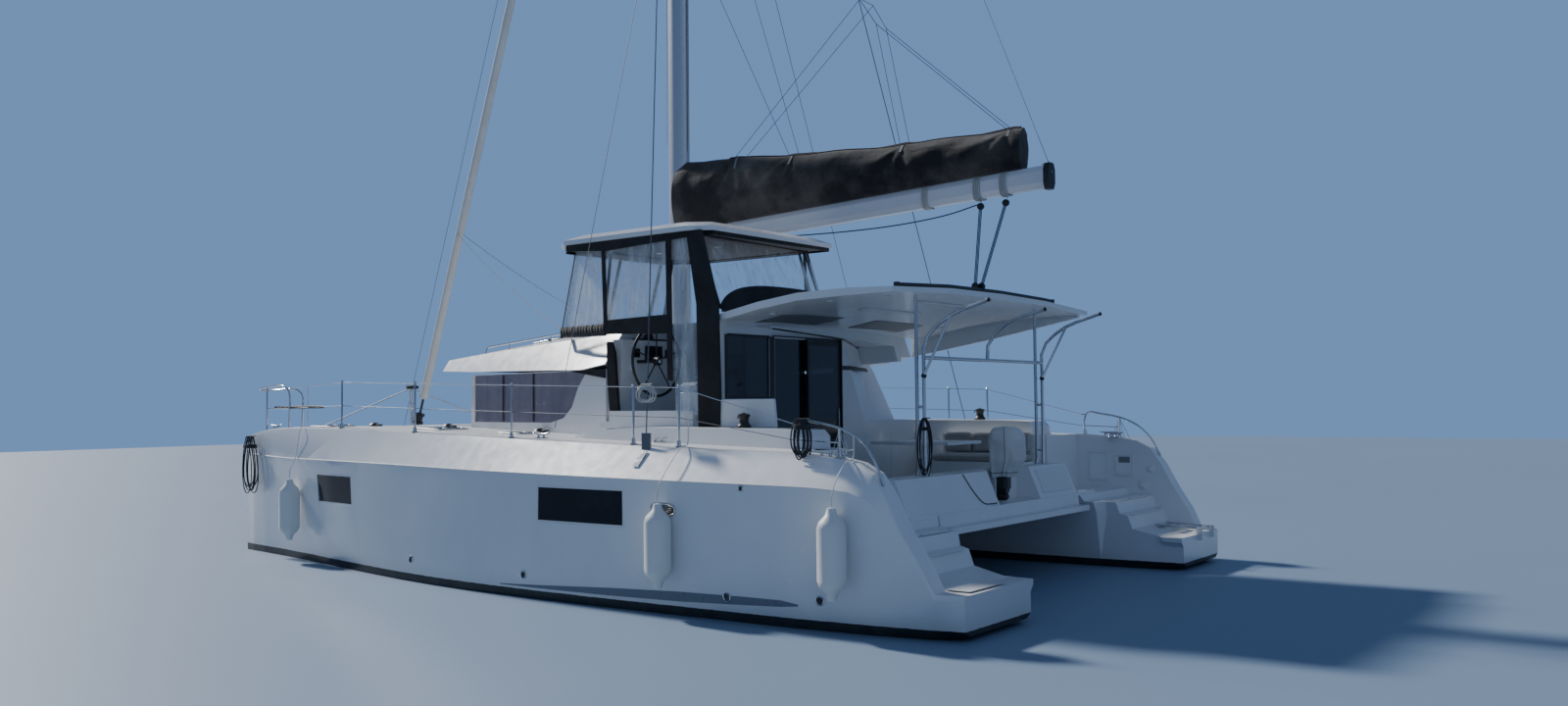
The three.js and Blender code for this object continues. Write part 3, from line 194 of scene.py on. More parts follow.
def cloth(name, color, pale, scale=340.0, wrinkle=5.0, fold=0.35, roughness=0.86):
    """Woven cloth: crossed threads, soft wrinkles, and paler patches where the sun has bleached it; on the
    charcoal canvas they are also painted highlight.
    """
    n = Nodes(name, color, roughness, sheen=0.25, specular=0.25)
    # Patches of the pale colour: sun bleaching, and on the charcoal canvas also painted highlight of the
    # sunlit folds.
    wear_and_sheen = n.ramp(n.noise(wrinkle * 0.55, 6, 0.62), 0.42, 0.72)
    threads = n.math("ADD", n.wave(scale, "DIAGONAL"), n.wave(scale, "Z"))
    tint = n.mix(n.math("MULTIPLY", threads, 0.12), n.mix(wear_and_sheen, color, pale), shaded(color, 0.55))
    folds = n.bump(n.noise(wrinkle, 4, 0.5), fold, 0.03)
    rough = n.math("MULTIPLY_ADD", n.noise(20, 3), 0.12, roughness - 0.06)
    return n.paint(tint, rough, n.bump(threads, 0.18, 0.0008, folds))


def metal(name, color, roughness, scratch=0.12, brushed=(2.0, 2.0, 60.0)):
    """Metal with a drawn grain, water spots and slightly uneven gloss."""
    n = Nodes(name, color, roughness, metallic=1.0)
    grain = n.noise(9, 5, 0.6, n.stretched(*brushed))
    spots = n.ramp(n.noise(24, 3), 0.52, 0.74)
    tint = n.mix(n.math("MULTIPLY", spots, 0.35), color, shaded(color, 0.72))
    rough = n.math("MULTIPLY_ADD", grain, scratch, roughness - scratch / 2)
    rough = n.math("ADD", rough, n.math("MULTIPLY", spots, 0.08))
    return n.paint(tint, rough, n.bump(grain, 0.08, 0.0006))


def plastic(name, color, roughness, coat=0.0, scuff=0.2, size=40.0):
    """Moulded plastic or rubber with fine texture and scuffs."""
    n = Nodes(name, color, roughness, coat=coat)
    scuffs = n.ramp(n.noise(7, 6, 0.7), 0.55, 0.75)
    tint = n.mix(n.math("MULTIPLY", scuffs, scuff), color, tuple(c * 0.6 + 0.12 for c in color))
    rough = n.math("MULTIPLY_ADD", n.noise(16, 4), 0.18, roughness - 0.09)
    return n.paint(tint, rough, n.bump(n.noise(size, 3), 0.12, 0.0008))


def dark_glass(name, color, alpha=1.0, shine=0.6):
    """Tinted pane with a faint film of salt."""
    n = Nodes(name, color, 0.05, coat=shine, alpha=alpha, specular=shine)
    salt = n.ramp(n.noise(3.0, 7, 0.7), 0.50, 0.85)
    tint = n.mix(n.math("MULTIPLY", salt, 0.05), color, (0.30, 0.33, 0.38))
    rough = n.math("MULTIPLY_ADD", salt, 0.16, 0.04)
    return n.paint(tint, rough, n.bump(n.noise(0.8, 1), 0.04, 0.01))


def shade_glass(name):
    """Saloon window: pale mauve pleated shades behind glossy glass, with painted shade towards their top
    under the roof's edge.
    """
    n = Nodes(name, (0.26, 0.23, 0.28), 0.10, coat=1.0)
    pleats = n.math("MAXIMUM", n.wave(1.15, "X", 0.6), n.wave(1.4, "Y", 0.6))
    cloud = n.noise(1.7, 5, 0.6)
    tint = n.mix(n.ramp(cloud, 0.3, 0.7), (0.165, 0.140, 0.180), (0.250, 0.215, 0.255))
    tint = n.mix(n.math("MULTIPLY", n.ramp(pleats, 0.90, 1.0), 0.35), tint, (0.14, 0.12, 0.16))
    # Painted shade: the shades darken towards their top, where the roof's edge overhangs them.
    low = n.ramp(n.axis("Z"), 1.93, 2.56)
    tint = n.mix(n.math("MULTIPLY", low, 0.25), tint, (0.10, 0.09, 0.12))
    return n.paint(tint, n.math("MULTIPLY_ADD", cloud, 0.12, 0.06), n.bump(n.noise(0.8, 1), 0.03, 0.01))


def vinyl(name, alpha):
    """Clear flexible window, with vertical ripples and a milky haze."""
    n = Nodes(name, (0.78, 0.84, 0.90), 0.10, coat=0.4, alpha=alpha)
    ripple = n.noise(3.2, 4, 0.6, n.stretched(3.0, 3.0, 0.45))
    haze = n.ramp(ripple, 0.42, 0.74)
    tint = n.mix(haze, (0.60, 0.68, 0.76), (0.93, 0.95, 0.97))
    film = n.math("MULTIPLY_ADD", haze, 0.30, alpha - 0.08)
    return n.paint(tint, n.math("MULTIPLY_ADD", haze, 0.18, 0.06), n.bump(ripple, 0.35, 0.012), film)


def netting(name):
    """Knotted net: pale cords on a 25 mm grid, with the gaps half see-through."""
    n = Nodes(name, (0.80, 0.80, 0.78), 0.8, specular=0.2)
    cords = n.math("MAXIMUM", n.wave(20, "X"), n.wave(20, "Y"))
    line = n.ramp(cords, 0.72, 0.86)
    tint = n.mix(line, (0.42, 0.43, 0.44), (0.86, 0.86, 0.83))
    tint = n.mix(n.math("MULTIPLY", n.noise(2.5, 5), 0.25), tint, (0.60, 0.58, 0.52))
    return n.paint(tint, 0.82, n.bump(cords, 0.5, 0.003), n.math("MULTIPLY_ADD", line, 0.55, 0.45))


def rope(name, color, fleck):
    """Braided line: diagonal strands with a fleck."""
    n = Nodes(name, color, 0.85, sheen=0.2, specular=0.2)
    lay = n.math("MULTIPLY", n.wave(70, "DIAGONAL"), n.wave(55, "Z"))
    tint = n.mix(n.ramp(lay, 0.35, 0.55), color, fleck)
    return n.paint(tint, n.math("MULTIPLY_ADD", n.noise(30, 2), 0.1, 0.8), n.bump(lay, 0.4, 0.0015))


PAINT_Z = 0.10
WHITE, GRIP = (0.80, 0.82, 0.84), (0.70, 0.71, 0.71)
LOOK = {
    "hull": gelcoat("hull_gelcoat", WHITE, paint_line=PAINT_Z, deck=GRIP),
    "deck": gelcoat("deck_gelcoat", WHITE, deck=GRIP),
    "smooth": gelcoat("smooth_gelcoat", WHITE),
    "bottom": plastic("bottom_paint", (0.020, 0.022, 0.026), 0.8, scuff=0.15),
    "smoked": dark_glass("smoked_glass", (0.010, 0.013, 0.020), alpha=0.86),
    "pane": dark_glass("hull_window_glass", (0.010, 0.012, 0.018), shine=0.12),
    "shades": shade_glass("saloon_window_shades"),
    "vinyl": vinyl("clear_vinyl", 0.22),
    "clear": vinyl("thin_clear_vinyl", 0.11),
    "black_cloth": cloth("black_acrylic_cloth", (0.008, 0.009, 0.011), (0.024, 0.025, 0.029)),
    # Canvas: its pale colour paints the sunlit highlights on the folds as well as sun bleaching.
    "canvas": cloth("charcoal_canvas", (0.016, 0.015, 0.015), (0.105, 0.094, 0.082), wrinkle=3.2, fold=0.8),
    "sail": cloth("white_sailcloth", (0.74, 0.74, 0.72), (0.66, 0.65, 0.60), wrinkle=4.0, fold=0.25),
    "seat": cloth("grey_seat_cloth", (0.42, 0.41, 0.39), (0.50, 0.49, 0.47), scale=260, fold=0.2),
    "blue_seat": cloth("pale_blue_vinyl", (0.38, 0.48, 0.62), (0.58, 0.64, 0.72), scale=200, fold=0.4,
                       roughness=0.45),
    "steel": metal("polished_steel", (0.62, 0.64, 0.66), 0.16),
    "spar": metal("anodised_spar", (0.66, 0.68, 0.71), 0.42, 0.10, (1.0, 1.0, 14.0)),
    "white_spar": gelcoat("painted_spar", (0.72, 0.74, 0.78), roughness=0.34),
    "bronze": metal("bronze", (0.45, 0.32, 0.15), 0.35),
    "black": plastic("black_plastic", (0.016, 0.017, 0.019), 0.42),
    "grey": plastic("grey_plastic", (0.20, 0.21, 0.22), 0.5),
    "white_plastic": plastic("white_plastic", (0.74, 0.75, 0.75), 0.35, coat=0.2, scuff=0.1),
    "fender": plastic("fender_vinyl", (0.76, 0.77, 0.75), 0.42, coat=0.1, scuff=0.35, size=14.0),
    "net": netting("trampoline_net"),
    "dark_rope": rope("dark_rope", (0.018, 0.020, 0.026), (0.075, 0.080, 0.095)),
    "pale_rope": rope("pale_rope", (0.55, 0.55, 0.52), (0.36, 0.38, 0.42)),
    "wire": metal("rigging_wire", (0.20, 0.21, 0.23), 0.45),
    "stripe": plastic("boot_stripe", (0.13, 0.17, 0.22), 0.3, coat=0.4, scuff=0.1),
    "teak": plastic("brown_plank", (0.060, 0.032, 0.020), 0.6, scuff=0.3),
}


def both(*names):
    return tuple("%s_%s" % (name, side) for name in names for side in ("port", "starboard"))


# The look given to each imported solid, by name.
NODE_LOOKS = {
    "hull": both("hull"),
    "deck": ("bridgedeck", *both("foredeck_lid"), "cockpit_aft", "coachroof", "cockpit_bench", "helm_pod"),
    "smooth": ("saloon_walls", "bulkhead", "helm_hardtop", "cockpit_hardtop", "cockpit_table"),
    "bottom": both("keel", "rudder"),
    "shades": ("window_front", *both("window")),
    "smoked": ("window_galley", "door_fixed", "door_sliding"),
    "black": ("door_track", "helm_wheel", "helm_frame", "jib_drum", *both("saildrive")),
    "vinyl": ("helm_enclosure", "helm_curtain"),
    "black_cloth": ("helm_pillar",),
    "steel": ("davit_frame", *both("pulpit", "guardrail", "stern_rail"), "swim_ladder"),
    "spar": ("crossbeam", "longeron", "mast"),
    "white_spar": ("boom",),
    "wire": both("shroud"),
    "bronze": both("propeller"),
    "fender": ("fender_1", "fender_2", "fender_3"),
    "sail": ("furled_jib", "outboard_cover"),
    "canvas": ("sail_bag",),
    "net": both("trampoline"),
    "seat": ("helm_seat", "cockpit_cushion"),
}
# Faces that meet at less than this many degrees are shaded as one surface.
ROUND_LOOKS, ROUND_LIMIT, FLAT_LIMIT = ("steel", "bronze", "fender", "sail", "spar", "black"), 52, 24


def soften(name, limit):
    """Shades a faceted solid as the smooth form it stands for. Its points and faces stay as they are."""
    mesh, least, around = NODES[name].data, math.cos(math.radians(limit)), {}

    def place(vertex):
        return tuple(round(c, 4) for c in mesh.vertices[vertex].co)
    for face in mesh.polygons:
        for vertex in face.vertices:
            around.setdefault(place(vertex), []).append((face.normal.copy(), face.area))
    normals = []
    for face in mesh.polygons:
        for vertex in face.vertices:
            near = [n * area for n, area in around[place(vertex)] if n.dot(face.normal) > least]
            normals.append(sum(near, Vector()).normalized())
    mesh.shade_smooth()
    mesh.normals_split_custom_set(normals)


# Mesh making.
def lerp(a, b, t):
    return a + (b - a) * t


def spread(a, b, count):
    """Even steps from a to b, both ends included."""
    return [lerp(a, b, k / count) for k in range(count + 1)]


def angles(count):
    """Even angles round a circle."""
    return [2 * math.pi * k / count for k in range(count)]


def signed_power(value, power):
    return math.copysign(abs(value) ** power, value)


def row_at(rows, x):
    """A table's row at x, between its neighbours. The table runs one way in x."""
    falling = rows[0][0] > rows[-1][0]
    for low, high in zip(rows, rows[1:]):
        if x >= high[0] if falling else x <= high[0]:
            t = (x - low[0]) / (high[0] - low[0])
            return [lerp(a, b, t) for a, b in zip(low, high)]
    return list(rows[-1])


def curve(points, steps=6):
    """Points on a smooth curve through the given ones."""
    points = [Vector(p) for p in points]
    padded = [2 * points[0] - points[1], *points, 2 * points[-1] - points[-2]]
    out = []
    for a, b, c, d in zip(padded, padded[1:], padded[2:], padded[3:]):
        for k in range(steps):
            t = k / steps
            out.append(0.5 * (2 * b + (c - a) * t + (2 * a - 5 * b + 4 * c - d) * t * t
                              + (3 * b - a - 3 * c + d) * t ** 3))
    return out + [points[-1]]


class Shape:
    """Gathers closed lumps into one mesh."""

    def __init__(self):
        self.points, self.faces = [], []

    def loft(self, rings, closed=False):
        base, count = len(self.points), len(rings[0])
        self.points += [tuple(p) for ring in rings for p in ring]
        last = len(rings) if closed else len(rings) - 1
        for i in range(last):
            a, b = base + i * count, base + ((i + 1) % len(rings)) * count
            for j in range(count):
                k = (j + 1) % count
                self.faces.append((a + j, a + k, b + k, b + j))
        if not closed:
            self.faces.append(tuple(range(base + count - 1, base - 1, -1)))
            self.faces.append(tuple(range(base + (len(rings) - 1) * count, base + len(rings) * count)))
        return self

    def tube(self, points, radius, sides=8, closed=False, flat=1.0):
        """A tube along points. radius is one number or one for each point."""
        points = [Vector(p) for p in points]
        count = len(points)
        radii = radius if isinstance(radius, list) else [radius] * count
        tangents = []
        for i in range(count):
            ahead = points[(i + 1) % count] if closed or i + 1 < count else points[i]
            behind = points[i - 1] if closed or i else points[i]
            tangents.append((ahead - behind).normalized())
        start = UP if abs(tangents[0].z) < 0.9 else Vector((1, 0, 0))
        normal = (start - tangents[0] * start.dot(tangents[0])).normalized()
        rings = []
        for point, size, tangent in zip(points, radii, tangents):
            normal = (normal - tangent * normal.dot(tangent)).normalized()
            across = tangent.cross(normal)
            rings.append([point + size * (math.cos(a) * normal + flat * math.sin(a) * across)
                          for a in angles(sides)])
        return self.loft(rings, closed)

    def box(self, low, high):
        (a, b, c), (d, e, f) = low, high
        return self.loft([[(a, b, z), (d, b, z), (d, e, z), (a, e, z)] for z in (c, f)])

    def lathe(self, profile, at, axis=(0, 0, 1), sides=20):
        """Radius and height pairs turned about a line through at. The ends are flat."""
        turn, at = UP.rotation_difference(Vector(axis).normalized()).to_matrix(), Vector(at)
        return self.loft([[at + turn @ Vector((r * math.cos(a), r * math.sin(a), h)) for a in angles(sides)]
                          for r, h in profile])

    def slab(self, grid, thickness):
        """A closed plate: rows of points, and the same rows moved by a vector."""
        rows, columns, base = len(grid), len(grid[0]), len(self.points)
        flat = [Vector(p) for row in grid for p in row]
        self.points += [tuple(p) for p in flat] + [tuple(p + Vector(thickness)) for p in flat]

        def at(i, j, layer):
            return base + (layer * rows + i) * columns + j
        for i in range(rows - 1):
            for j in range(columns - 1):
                self.faces.append((at(i, j, 0), at(i, j + 1, 0), at(i + 1, j + 1, 0), at(i + 1, j, 0)))
                self.faces.append((at(i, j, 1), at(i + 1, j, 1), at(i + 1, j + 1, 1), at(i, j + 1, 1)))
        rim = [(0, j) for j in range(columns)] + [(i, columns - 1) for i in range(1, rows)]
        rim += [(rows - 1, j) for j in range(columns - 2, -1, -1)] + [(i, 0) for i in range(rows - 2, 0, -1)]
        for (i, j), (k, m) in zip(rim, rim[1:] + rim[:1]):
            self.faces.append((at(i, j, 0), at(i, j, 1), at(k, m, 1), at(k, m, 0)))
        return self

    def mirrored(self):
        """Adds the same lumps on the other side of the centreline."""
        base = len(self.points)
        self.points += [(x, -y, z) for x, y, z in self.points]
        self.faces += [tuple(base + k for k in reversed(face)) for face in list(self.faces)]
        return self

    def done(self, name, look, slot=None, body=HULK, bevel=0.0, smooth=40):
        thing = self.loose(name, look, slot, bevel, smooth)
        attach(thing, body)
        return thing

    def loose(self, name, look, slot=None, bevel=0.0, smooth=40):
        mesh = bpy.data.meshes.new(name)
        mesh.from_pydata(self.points, [], self.faces)
        work = bmesh.new()
        work.from_mesh(mesh)
        bmesh.ops.recalc_face_normals(work, faces=work.faces)
        work.to_mesh(mesh)
        work.free()
        thing = bpy.data.objects.new(name, mesh)
        SCENE.collection.objects.link(thing)
        mesh.materials.append(LOOK[look])
        if bevel:
            edge = thing.modifiers.new("bevel", "BEVEL")
            edge.width, edge.segments, edge.limit_method = bevel, 2, "ANGLE"
            edge.angle_limit = math.radians(30)
        mesh.shade_smooth()
        mesh.set_sharp_from_angle(angle=math.radians(smooth))
        return thing


def shapes(count):
    return [Shape() for _ in range(count)]


# Hull form, as in the part's source: x, deck z, deck y, knuckle y, knuckle z, waterline y.
HULL_ROWS = [
    (-6.400, 0.420, 3.500, 3.515, 0.370, 3.500), (-6.160, 0.430, 3.625, 3.635, 0.380, 3.555),
    (-6.040, 0.670, 3.660, 3.680, 0.610, 3.585), (-5.840, 0.972, 3.680, 3.710, 0.900, 3.610),
    (-5.675, 1.283, 3.680, 3.740, 1.140, 3.640), (-5.525, 1.490, 3.645, 3.765, 1.260, 3.665),
    (-5.340, 1.585, 3.600, 3.785, 1.325, 3.685), (-5.100, 1.630, 3.570, 3.805, 1.350, 3.705),
    (-4.700, 1.669, 3.550, 3.830, 1.360, 3.750),
    (-2.100, 1.736, 3.550, 3.850, 1.380, 3.850), (0.000, 1.791, 3.520, 3.800, 1.405, 3.840),
    (1.600, 1.833, 3.430, 3.690, 1.430, 3.680), (3.370, 1.880, 3.320, 3.480, 1.440, 3.370),
    (4.700, 1.880, 3.170, 3.260, 1.440, 3.120), (5.600, 1.840, 3.040, 3.080, 1.455, 2.980),
    (6.060, 1.785, 2.975, 2.975, 1.470, 2.915), (6.370, 1.710, 2.885, 2.885, 1.480, 2.865),
]


def smooth_rows(rows):
    """The rows with one more halfway between each pair, on a smooth curve through them."""
    out = []
    for k, (row, after) in enumerate(zip(rows, rows[1:])):
        before, last = rows[max(k - 1, 0)], rows[min(k + 2, len(rows) - 1)]
        steep = after[0] - row[0] < 0.3
        middle = [(v + w) / 2 if steep or v == w else (9 * (v + w) - a - b) / 16
                  for v, w, a, b in zip(row, after, before, last)]
        out += [row, ((row[0] + after[0]) / 2, *middle[1:])]
    return [*out, rows[-1]]


HULL_STATIONS = smooth_rows(HULL_ROWS)
HULL = {1: "hull_port", -1: "hull_starboard"}
TREES = {}


def deck_z(x):
    return row_at(HULL_STATIONS, x)[1]


def skin_y(x, z):
    _, deck, deck_y, knuckle_y, knuckle_z, water_y = row_at(HULL_STATIONS, x)
    if z > knuckle_z:
        return lerp(knuckle_y, deck_y, (z - knuckle_z) / (deck - knuckle_z))
    return lerp(water_y, knuckle_y, (z - PAINT_Z) / (knuckle_z - PAINT_Z))


def strike(node, start, way):
    """The first point of a CAD solid that a line meets."""
    if node not in TREES:
        mesh = NODES[node].data
        faces = [tuple(p.vertices) for p in mesh.polygons]
        TREES[node] = BVHTree.FromPolygons([v.co for v in mesh.vertices], faces)
    return TREES[node].ray_cast(Vector(start), Vector(way))[0]


def top_of(node, x, y, start=2.6):
    return strike(node, (x, y, start), (0, 0, -1)).z


def under_hardtop(x, y):
    return strike("cockpit_hardtop", (x, y, 2.4), (0, 0, 1)).z


def on_hull(x, z, out):
    """A point a little outside the port hull's true surface."""
    return (x, strike("hull_port", (x, 5, z), (0, -1, 0)).y + out, z)


def on_skin(shape, x0, x1, z0, z1, low, high):
    """A plate that follows the topside, between two distances from it."""
    grid = [[(x, skin_y(x, z) + low, z) for x in spread(x0, x1, 8)] for z in spread(z0, z1, 3)]
    return shape.slab(grid, (0, high - low, 0))


def rim_strips(x0, x1, z0, z1, width):
    """The four strips of a frame: foot, head, and the two sides between them."""
    return ((x0, x1, z0, z0 + width), (x0, x1, z1 - width, z1),
            (x0, x0 + width, z0 + width, z1 - width), (x1 - width, x1, z0 + width, z1 - width))


# Floor, sky and suns. Suns: towards the sun, strength, softness in degrees, colour.
FLOOR_HALF = 60
SUNS = (((0.84, -0.07, 0.62), 4.8, 5, (1.0, 0.97, 0.92)), ((-0.8, 0.5, 0.45), 0.15, 60, (0.80, 0.90, 1.0)))
SKY_LIGHT, SKY_SEEN = ((0.31, 0.51, 0.95, 1), 0.30), ((0.27, 0.50, 0.98, 1), 0.58)


def add_stage():
    mesh = bpy.data.meshes.new("floor")
    corners = [(a * FLOOR_HALF, b * FLOOR_HALF, 0) for a, b in ((-1, -1), (1, -1), (1, 1), (-1, 1))]
    mesh.from_pydata(corners, [], [(0, 1, 2, 3)])
    ground = bpy.data.objects.new("floor", mesh)
    SCENE.collection.objects.link(ground)
    n = Nodes("floor_paint", (0.21, 0.29, 0.40), 0.5)
    n.paint(n.mix(n.noise(0.15, 3), (0.19, 0.27, 0.38), (0.22, 0.30, 0.41)), 0.5)
    mesh.materials.append(n.material)
    world = bpy.data.worlds.new("studio")
    world.use_nodes = True
    nodes, links = world.node_tree.nodes, world.node_tree.links
    sky, backdrop = nodes["Background"], nodes.new("ShaderNodeBackground")
    mixed = nodes.new("ShaderNodeMixShader")
    for light, (color, strength) in ((sky, SKY_LIGHT), (backdrop, SKY_SEEN)):
        light.inputs["Color"].default_value = color
        light.inputs["Strength"].default_value = strength
    links.new(nodes.new("ShaderNodeLightPath").outputs["Is Camera Ray"], mixed.inputs["Fac"])
    links.new(sky.outputs[0], mixed.inputs[1])
    links.new(backdrop.outputs[0], mixed.inputs[2])
    links.new(mixed.outputs[0], nodes["World Output"].inputs["Surface"])
    SCENE.world = world
    for k, (towards, power, soft, color) in enumerate(SUNS):
        data = bpy.data.lights.new("sun_%d" % k, "SUN")
        data.energy, data.angle, data.color = power, math.radians(soft), color
        lamp = bpy.data.objects.new("sun_%d" % k, data)
        lamp.rotation_mode = "QUATERNION"
        lamp.rotation_quaternion = Vector(towards).to_track_quat("Z", "Y")
        SCENE.collection.objects.link(lamp)


# Hulls.
WINDOWS = ((2.70, 3.73, 0.85, 1.26), (-2.55, -1.20, 0.86, 1.27))  # x from, x to, z from, z to
FRAME_W = 0.024
OUTLETS = ((-4.98, 0.29), (-3.9, 0.24), (1.2, 0.27), (-1.0, 0.26))  # x, z
SKIN_FITTINGS = (  # x, z, length, height, tube radius, plate's inset, plate's height, corner power
    (-3.10, 1.075, 0.33, 0.12, 0.011, 0.020, 0.003, 2.6),
    (-4.12, 1.325, 0.055, 0.055, 0.007, 0.010, 0.005, 2),
    *((x, z, 0.085, 0.085, 0.008, 0.013, 0.002, 2) for x, z in OUTLETS),
)
STRIPE_ROWS = (  # x, low z, high z
    (-0.6, 0.125, 0.135), (-1.3, 0.128, 0.165), (-2.3, 0.135, 0.215), (-3.3, 0.150, 0.250),
    (-4.1, 0.180, 0.262), (-4.55, 0.200, 0.262), (-4.78, 0.222, 0.232),
)
CHAINPLATE = ((-2.66, 1.50), (-2.58, 1.50), (-2.57, 1.66), (-2.67, 1.66))  # x, z


def hull_windows():
    panes, frames = shapes(2)
    for x0, x1, z0, z1 in WINDOWS:
        on_skin(panes, x0 + 0.003, x1 - 0.003, z0 + 0.003, z1 - 0.003, -0.0135, -0.005)
        for strip in rim_strips(x0, x1, z0, z1, FRAME_W):
            on_skin(frames, *strip, -0.0045, 0.0015)
    panes.mirrored().done("hull_panes", "pane")
    frames.mirrored().done("hull_pane_frames", "white_plastic")


def oval_on_hull(x, z, long, tall, out, power):
    """A rounded outline on the port hull's skin."""
    ring = []
    for a in angles(24):
        ring.append(on_hull(x + long / 2 * signed_power(math.cos(a), 2 / power),
                            z + tall / 2 * signed_power(math.sin(a), 2 / power), out))
    return ring


def hull_fittings():
    """Trimmed vents and outlets in the topside. The first is a vent with five bars."""
    chrome, dark = shapes(2)
    for x, z, long, tall, radius, inset, out, power in SKIN_FITTINGS:
        chrome.tube(oval_on_hull(x, z, long, tall, 0.004, power), radius, 8, closed=True)
        dark.loft([oval_on_hull(x, z, long - inset, tall - inset, depth, power) for depth in (-0.004, out)])
    for z in spread(1.040, 1.110, 4):
        chrome.tube([on_hull(-3.23, z, 0.006), on_hull(-2.97, z, 0.006)], 0.0028, 6)
    chrome.mirrored().done("hull_trims", "steel")
    dark.mirrored().done("hull_vents", "black")


def rubbing_line():
    """A fine raised bead along the chine under the deck edge."""
    spots = [(x, row_at(HULL_STATIONS, x)[4]) for x in spread(-5.2, 6.30, 46)]
    line = [(x, skin_y(x, z) + 0.001, z) for x, z in spots]
    Shape().tube(line, 0.006, 6).mirrored().done("chine_bead", "white_plastic")


def boot_stripe():
    """The dark wedge painted just above the waterline."""
    grid = [[], [], []]
    for after, before in zip(STRIPE_ROWS, STRIPE_ROWS[1:]):
        for k in range(6):
            x, low, high = [lerp(a, b, k / 6) for a, b in zip(after, before)]
            for row, part in zip(grid, (0, 0.5, 1)):
                row.append(on_hull(x, lerp(low, high, part), 0.0004))
    Shape().slab(grid, (0, 0.0016, 0)).mirrored().done("boot_stripe", "stripe")


def chainplates():
    """The flat blade outside each hull that a shroud's foot holds on to."""
    blade = Shape()
    for s in (1, -1):
        blade.loft([[(x, s * (skin_y(x, z) + out), z) for x, z in CHAINPLATE] for out in (-0.004, 0.008)])
    blade.done("shroud_blades", "steel", bevel=0.002)


# Decks and bows.
DECK_HATCHES = ((4.05, 4.55, 2.55, 2.98), (1.85, 2.35, 2.30, 2.80), (0.20, 0.60, 2.45, 2.85))
CLEATS = ((5.55, 2.90), (-0.75, 3.36), (-5.02, 3.38))
HORN = ((-0.14, 0.062), (-0.08, 0.052), (0.0, 0.048), (0.08, 0.052), (0.14, 0.062))
CLEAT_FOOT = ((0.024, 0.0), (0.020, 0.010), (0.012, 0.020), (0.012, 0.052))
VENTS = ((3.87, 2.37), (2.59, 2.06), (0.60, 2.16))
VENT_CAP = ((0.075, 0), (0.080, 0.012), (0.066, 0.030), (0.040, 0.048), (0.015, 0.054))
CHAIN_LINKS, CHAIN_PITCH, CHAIN_AT = 34, 0.072, (3.99, 1.556)
LINK_LONG, LINK_WIDE = 0.044, 0.016
SHANK = ((6.05, 0, 1.55), (6.30, 0, 1.575), (6.44, 0, 1.56), (6.485, 0, 1.47), (6.47, 0, 1.30))
FLUKE = (  # x, half width, z, then the keel's x and z
    (6.49, 0.01, 1.34, 6.46, 1.32), (6.44, 0.14, 1.16, 6.36, 1.14), (6.18, 0.10, 1.10, 6.16, 1.08),
    (6.02, 0.012, 1.13, 6.02, 1.11),
)


def deck_slab(shape, x0, x1, y0, y1, low, high, steps=4):
    grid = [[(x, y, deck_z(x) + low) for x in spread(x0, x1, steps)] for y in (y0, y1)]
    return shape.slab(grid, (0, 0, high - low))


def deck_hatches():
    lens, rim = shapes(2)
    for x0, x1, y0, y1 in DECK_HATCHES:
        deck_slab(rim, x0, x1, y0, y1, 0.001, 0.016)
        deck_slab(lens, x0 + 0.035, x1 - 0.035, y0 + 0.035, y1 - 0.035, 0.014, 0.024)
        for y in (y0 + 0.10, y1 - 0.10):
            deck_slab(rim, x0 - 0.012, x0 + 0.030, y - 0.022, y + 0.022, 0.001, 0.030, 1)
    lens.mirrored().done("deck_hatch_lenses", "pane", bevel=0.004)
    rim.mirrored().done("deck_hatch_rims", "spar", bevel=0.004)


def cleats():
    shape = Shape()
    for x, y in CLEATS:
        z = deck_z(x)
        shape.tube(curve([(x + dx, y, z + up) for dx, up in HORN], 4), [0.007] + [0.012] * 15 + [0.007], 10)
        for dx in (-0.045, 0.045):
            shape.lathe(CLEAT_FOOT, (x + dx, y, z), sides=14)
        shape.lathe(((0.085, 0.0), (0.085, 0.004), (0.078, 0.008)), (x, y, z), sides=24)
    shape.mirrored().done("mooring_cleats", "steel")


def deck_vents():
    """Low black fittings along the inner edge of the side deck, with a line stopper behind each."""
    shape = Shape()
    for x, y in VENTS:
        z = deck_z(x)
        shape.lathe(VENT_CAP, (x, y, z), sides=24)
        shape.box((x - 0.15, y - 0.03, z), (x - 0.07, y + 0.03, z + 0.028))
    shape.mirrored().done("deck_fittings", "black", bevel=0.004)


def anchor_gear():
    chain, anchor = shapes(2)
    start, z = CHAIN_AT
    for k in range(CHAIN_LINKS):
        x, flat = start + CHAIN_PITCH * k, k % 2
        loop = [(x + LINK_LONG * math.cos(a), flat * LINK_WIDE * math.sin(a),
                 z + (1 - flat) * LINK_WIDE * math.sin(a)) for a in angles(10)]
        chain.tube(loop, 0.0055, 6, closed=True)
    chain.done("anchor_chain", "steel")
    anchor.tube(curve(SHANK, 4), 0.020, 8)
    anchor.loft([[(x, half, z), (x, -half, z), (keel_x, 0, keel_z)] for x, half, z, keel_x, keel_z in FLUKE])
    anchor.done("bow_anchor", "steel", bevel=0.004)


def bow_details():
    plank, black, steel = shapes(3)
    plank.tube([(5.48, 2.965, 2.165), (4.97, 3.010, 2.165), (3.97, 3.140, 2.168)], 0.020, 8, flat=0.5)
    plank.done("side_plank", "teak")
    black.lathe(((0.080, 0.0), (0.100, 0.012), (0.100, 0.046), (0.070, 0.060)), (6.145, 0, 2.462), sides=24)
    black.done("striker_cap", "black")
    steel.tube([(5.6, 0.06, 1.68), (5.9, 0.06, 1.70)], 0.008, 6)
    for y in (0.03, -0.03):
        for z in (1.72, 1.95, 2.2):
            steel.lathe(((0.014, 0), (0.018, 0.01), (0.014, 0.02)), (6.15, y, z), sides=10)
    steel.done("striker_fittings", "steel")


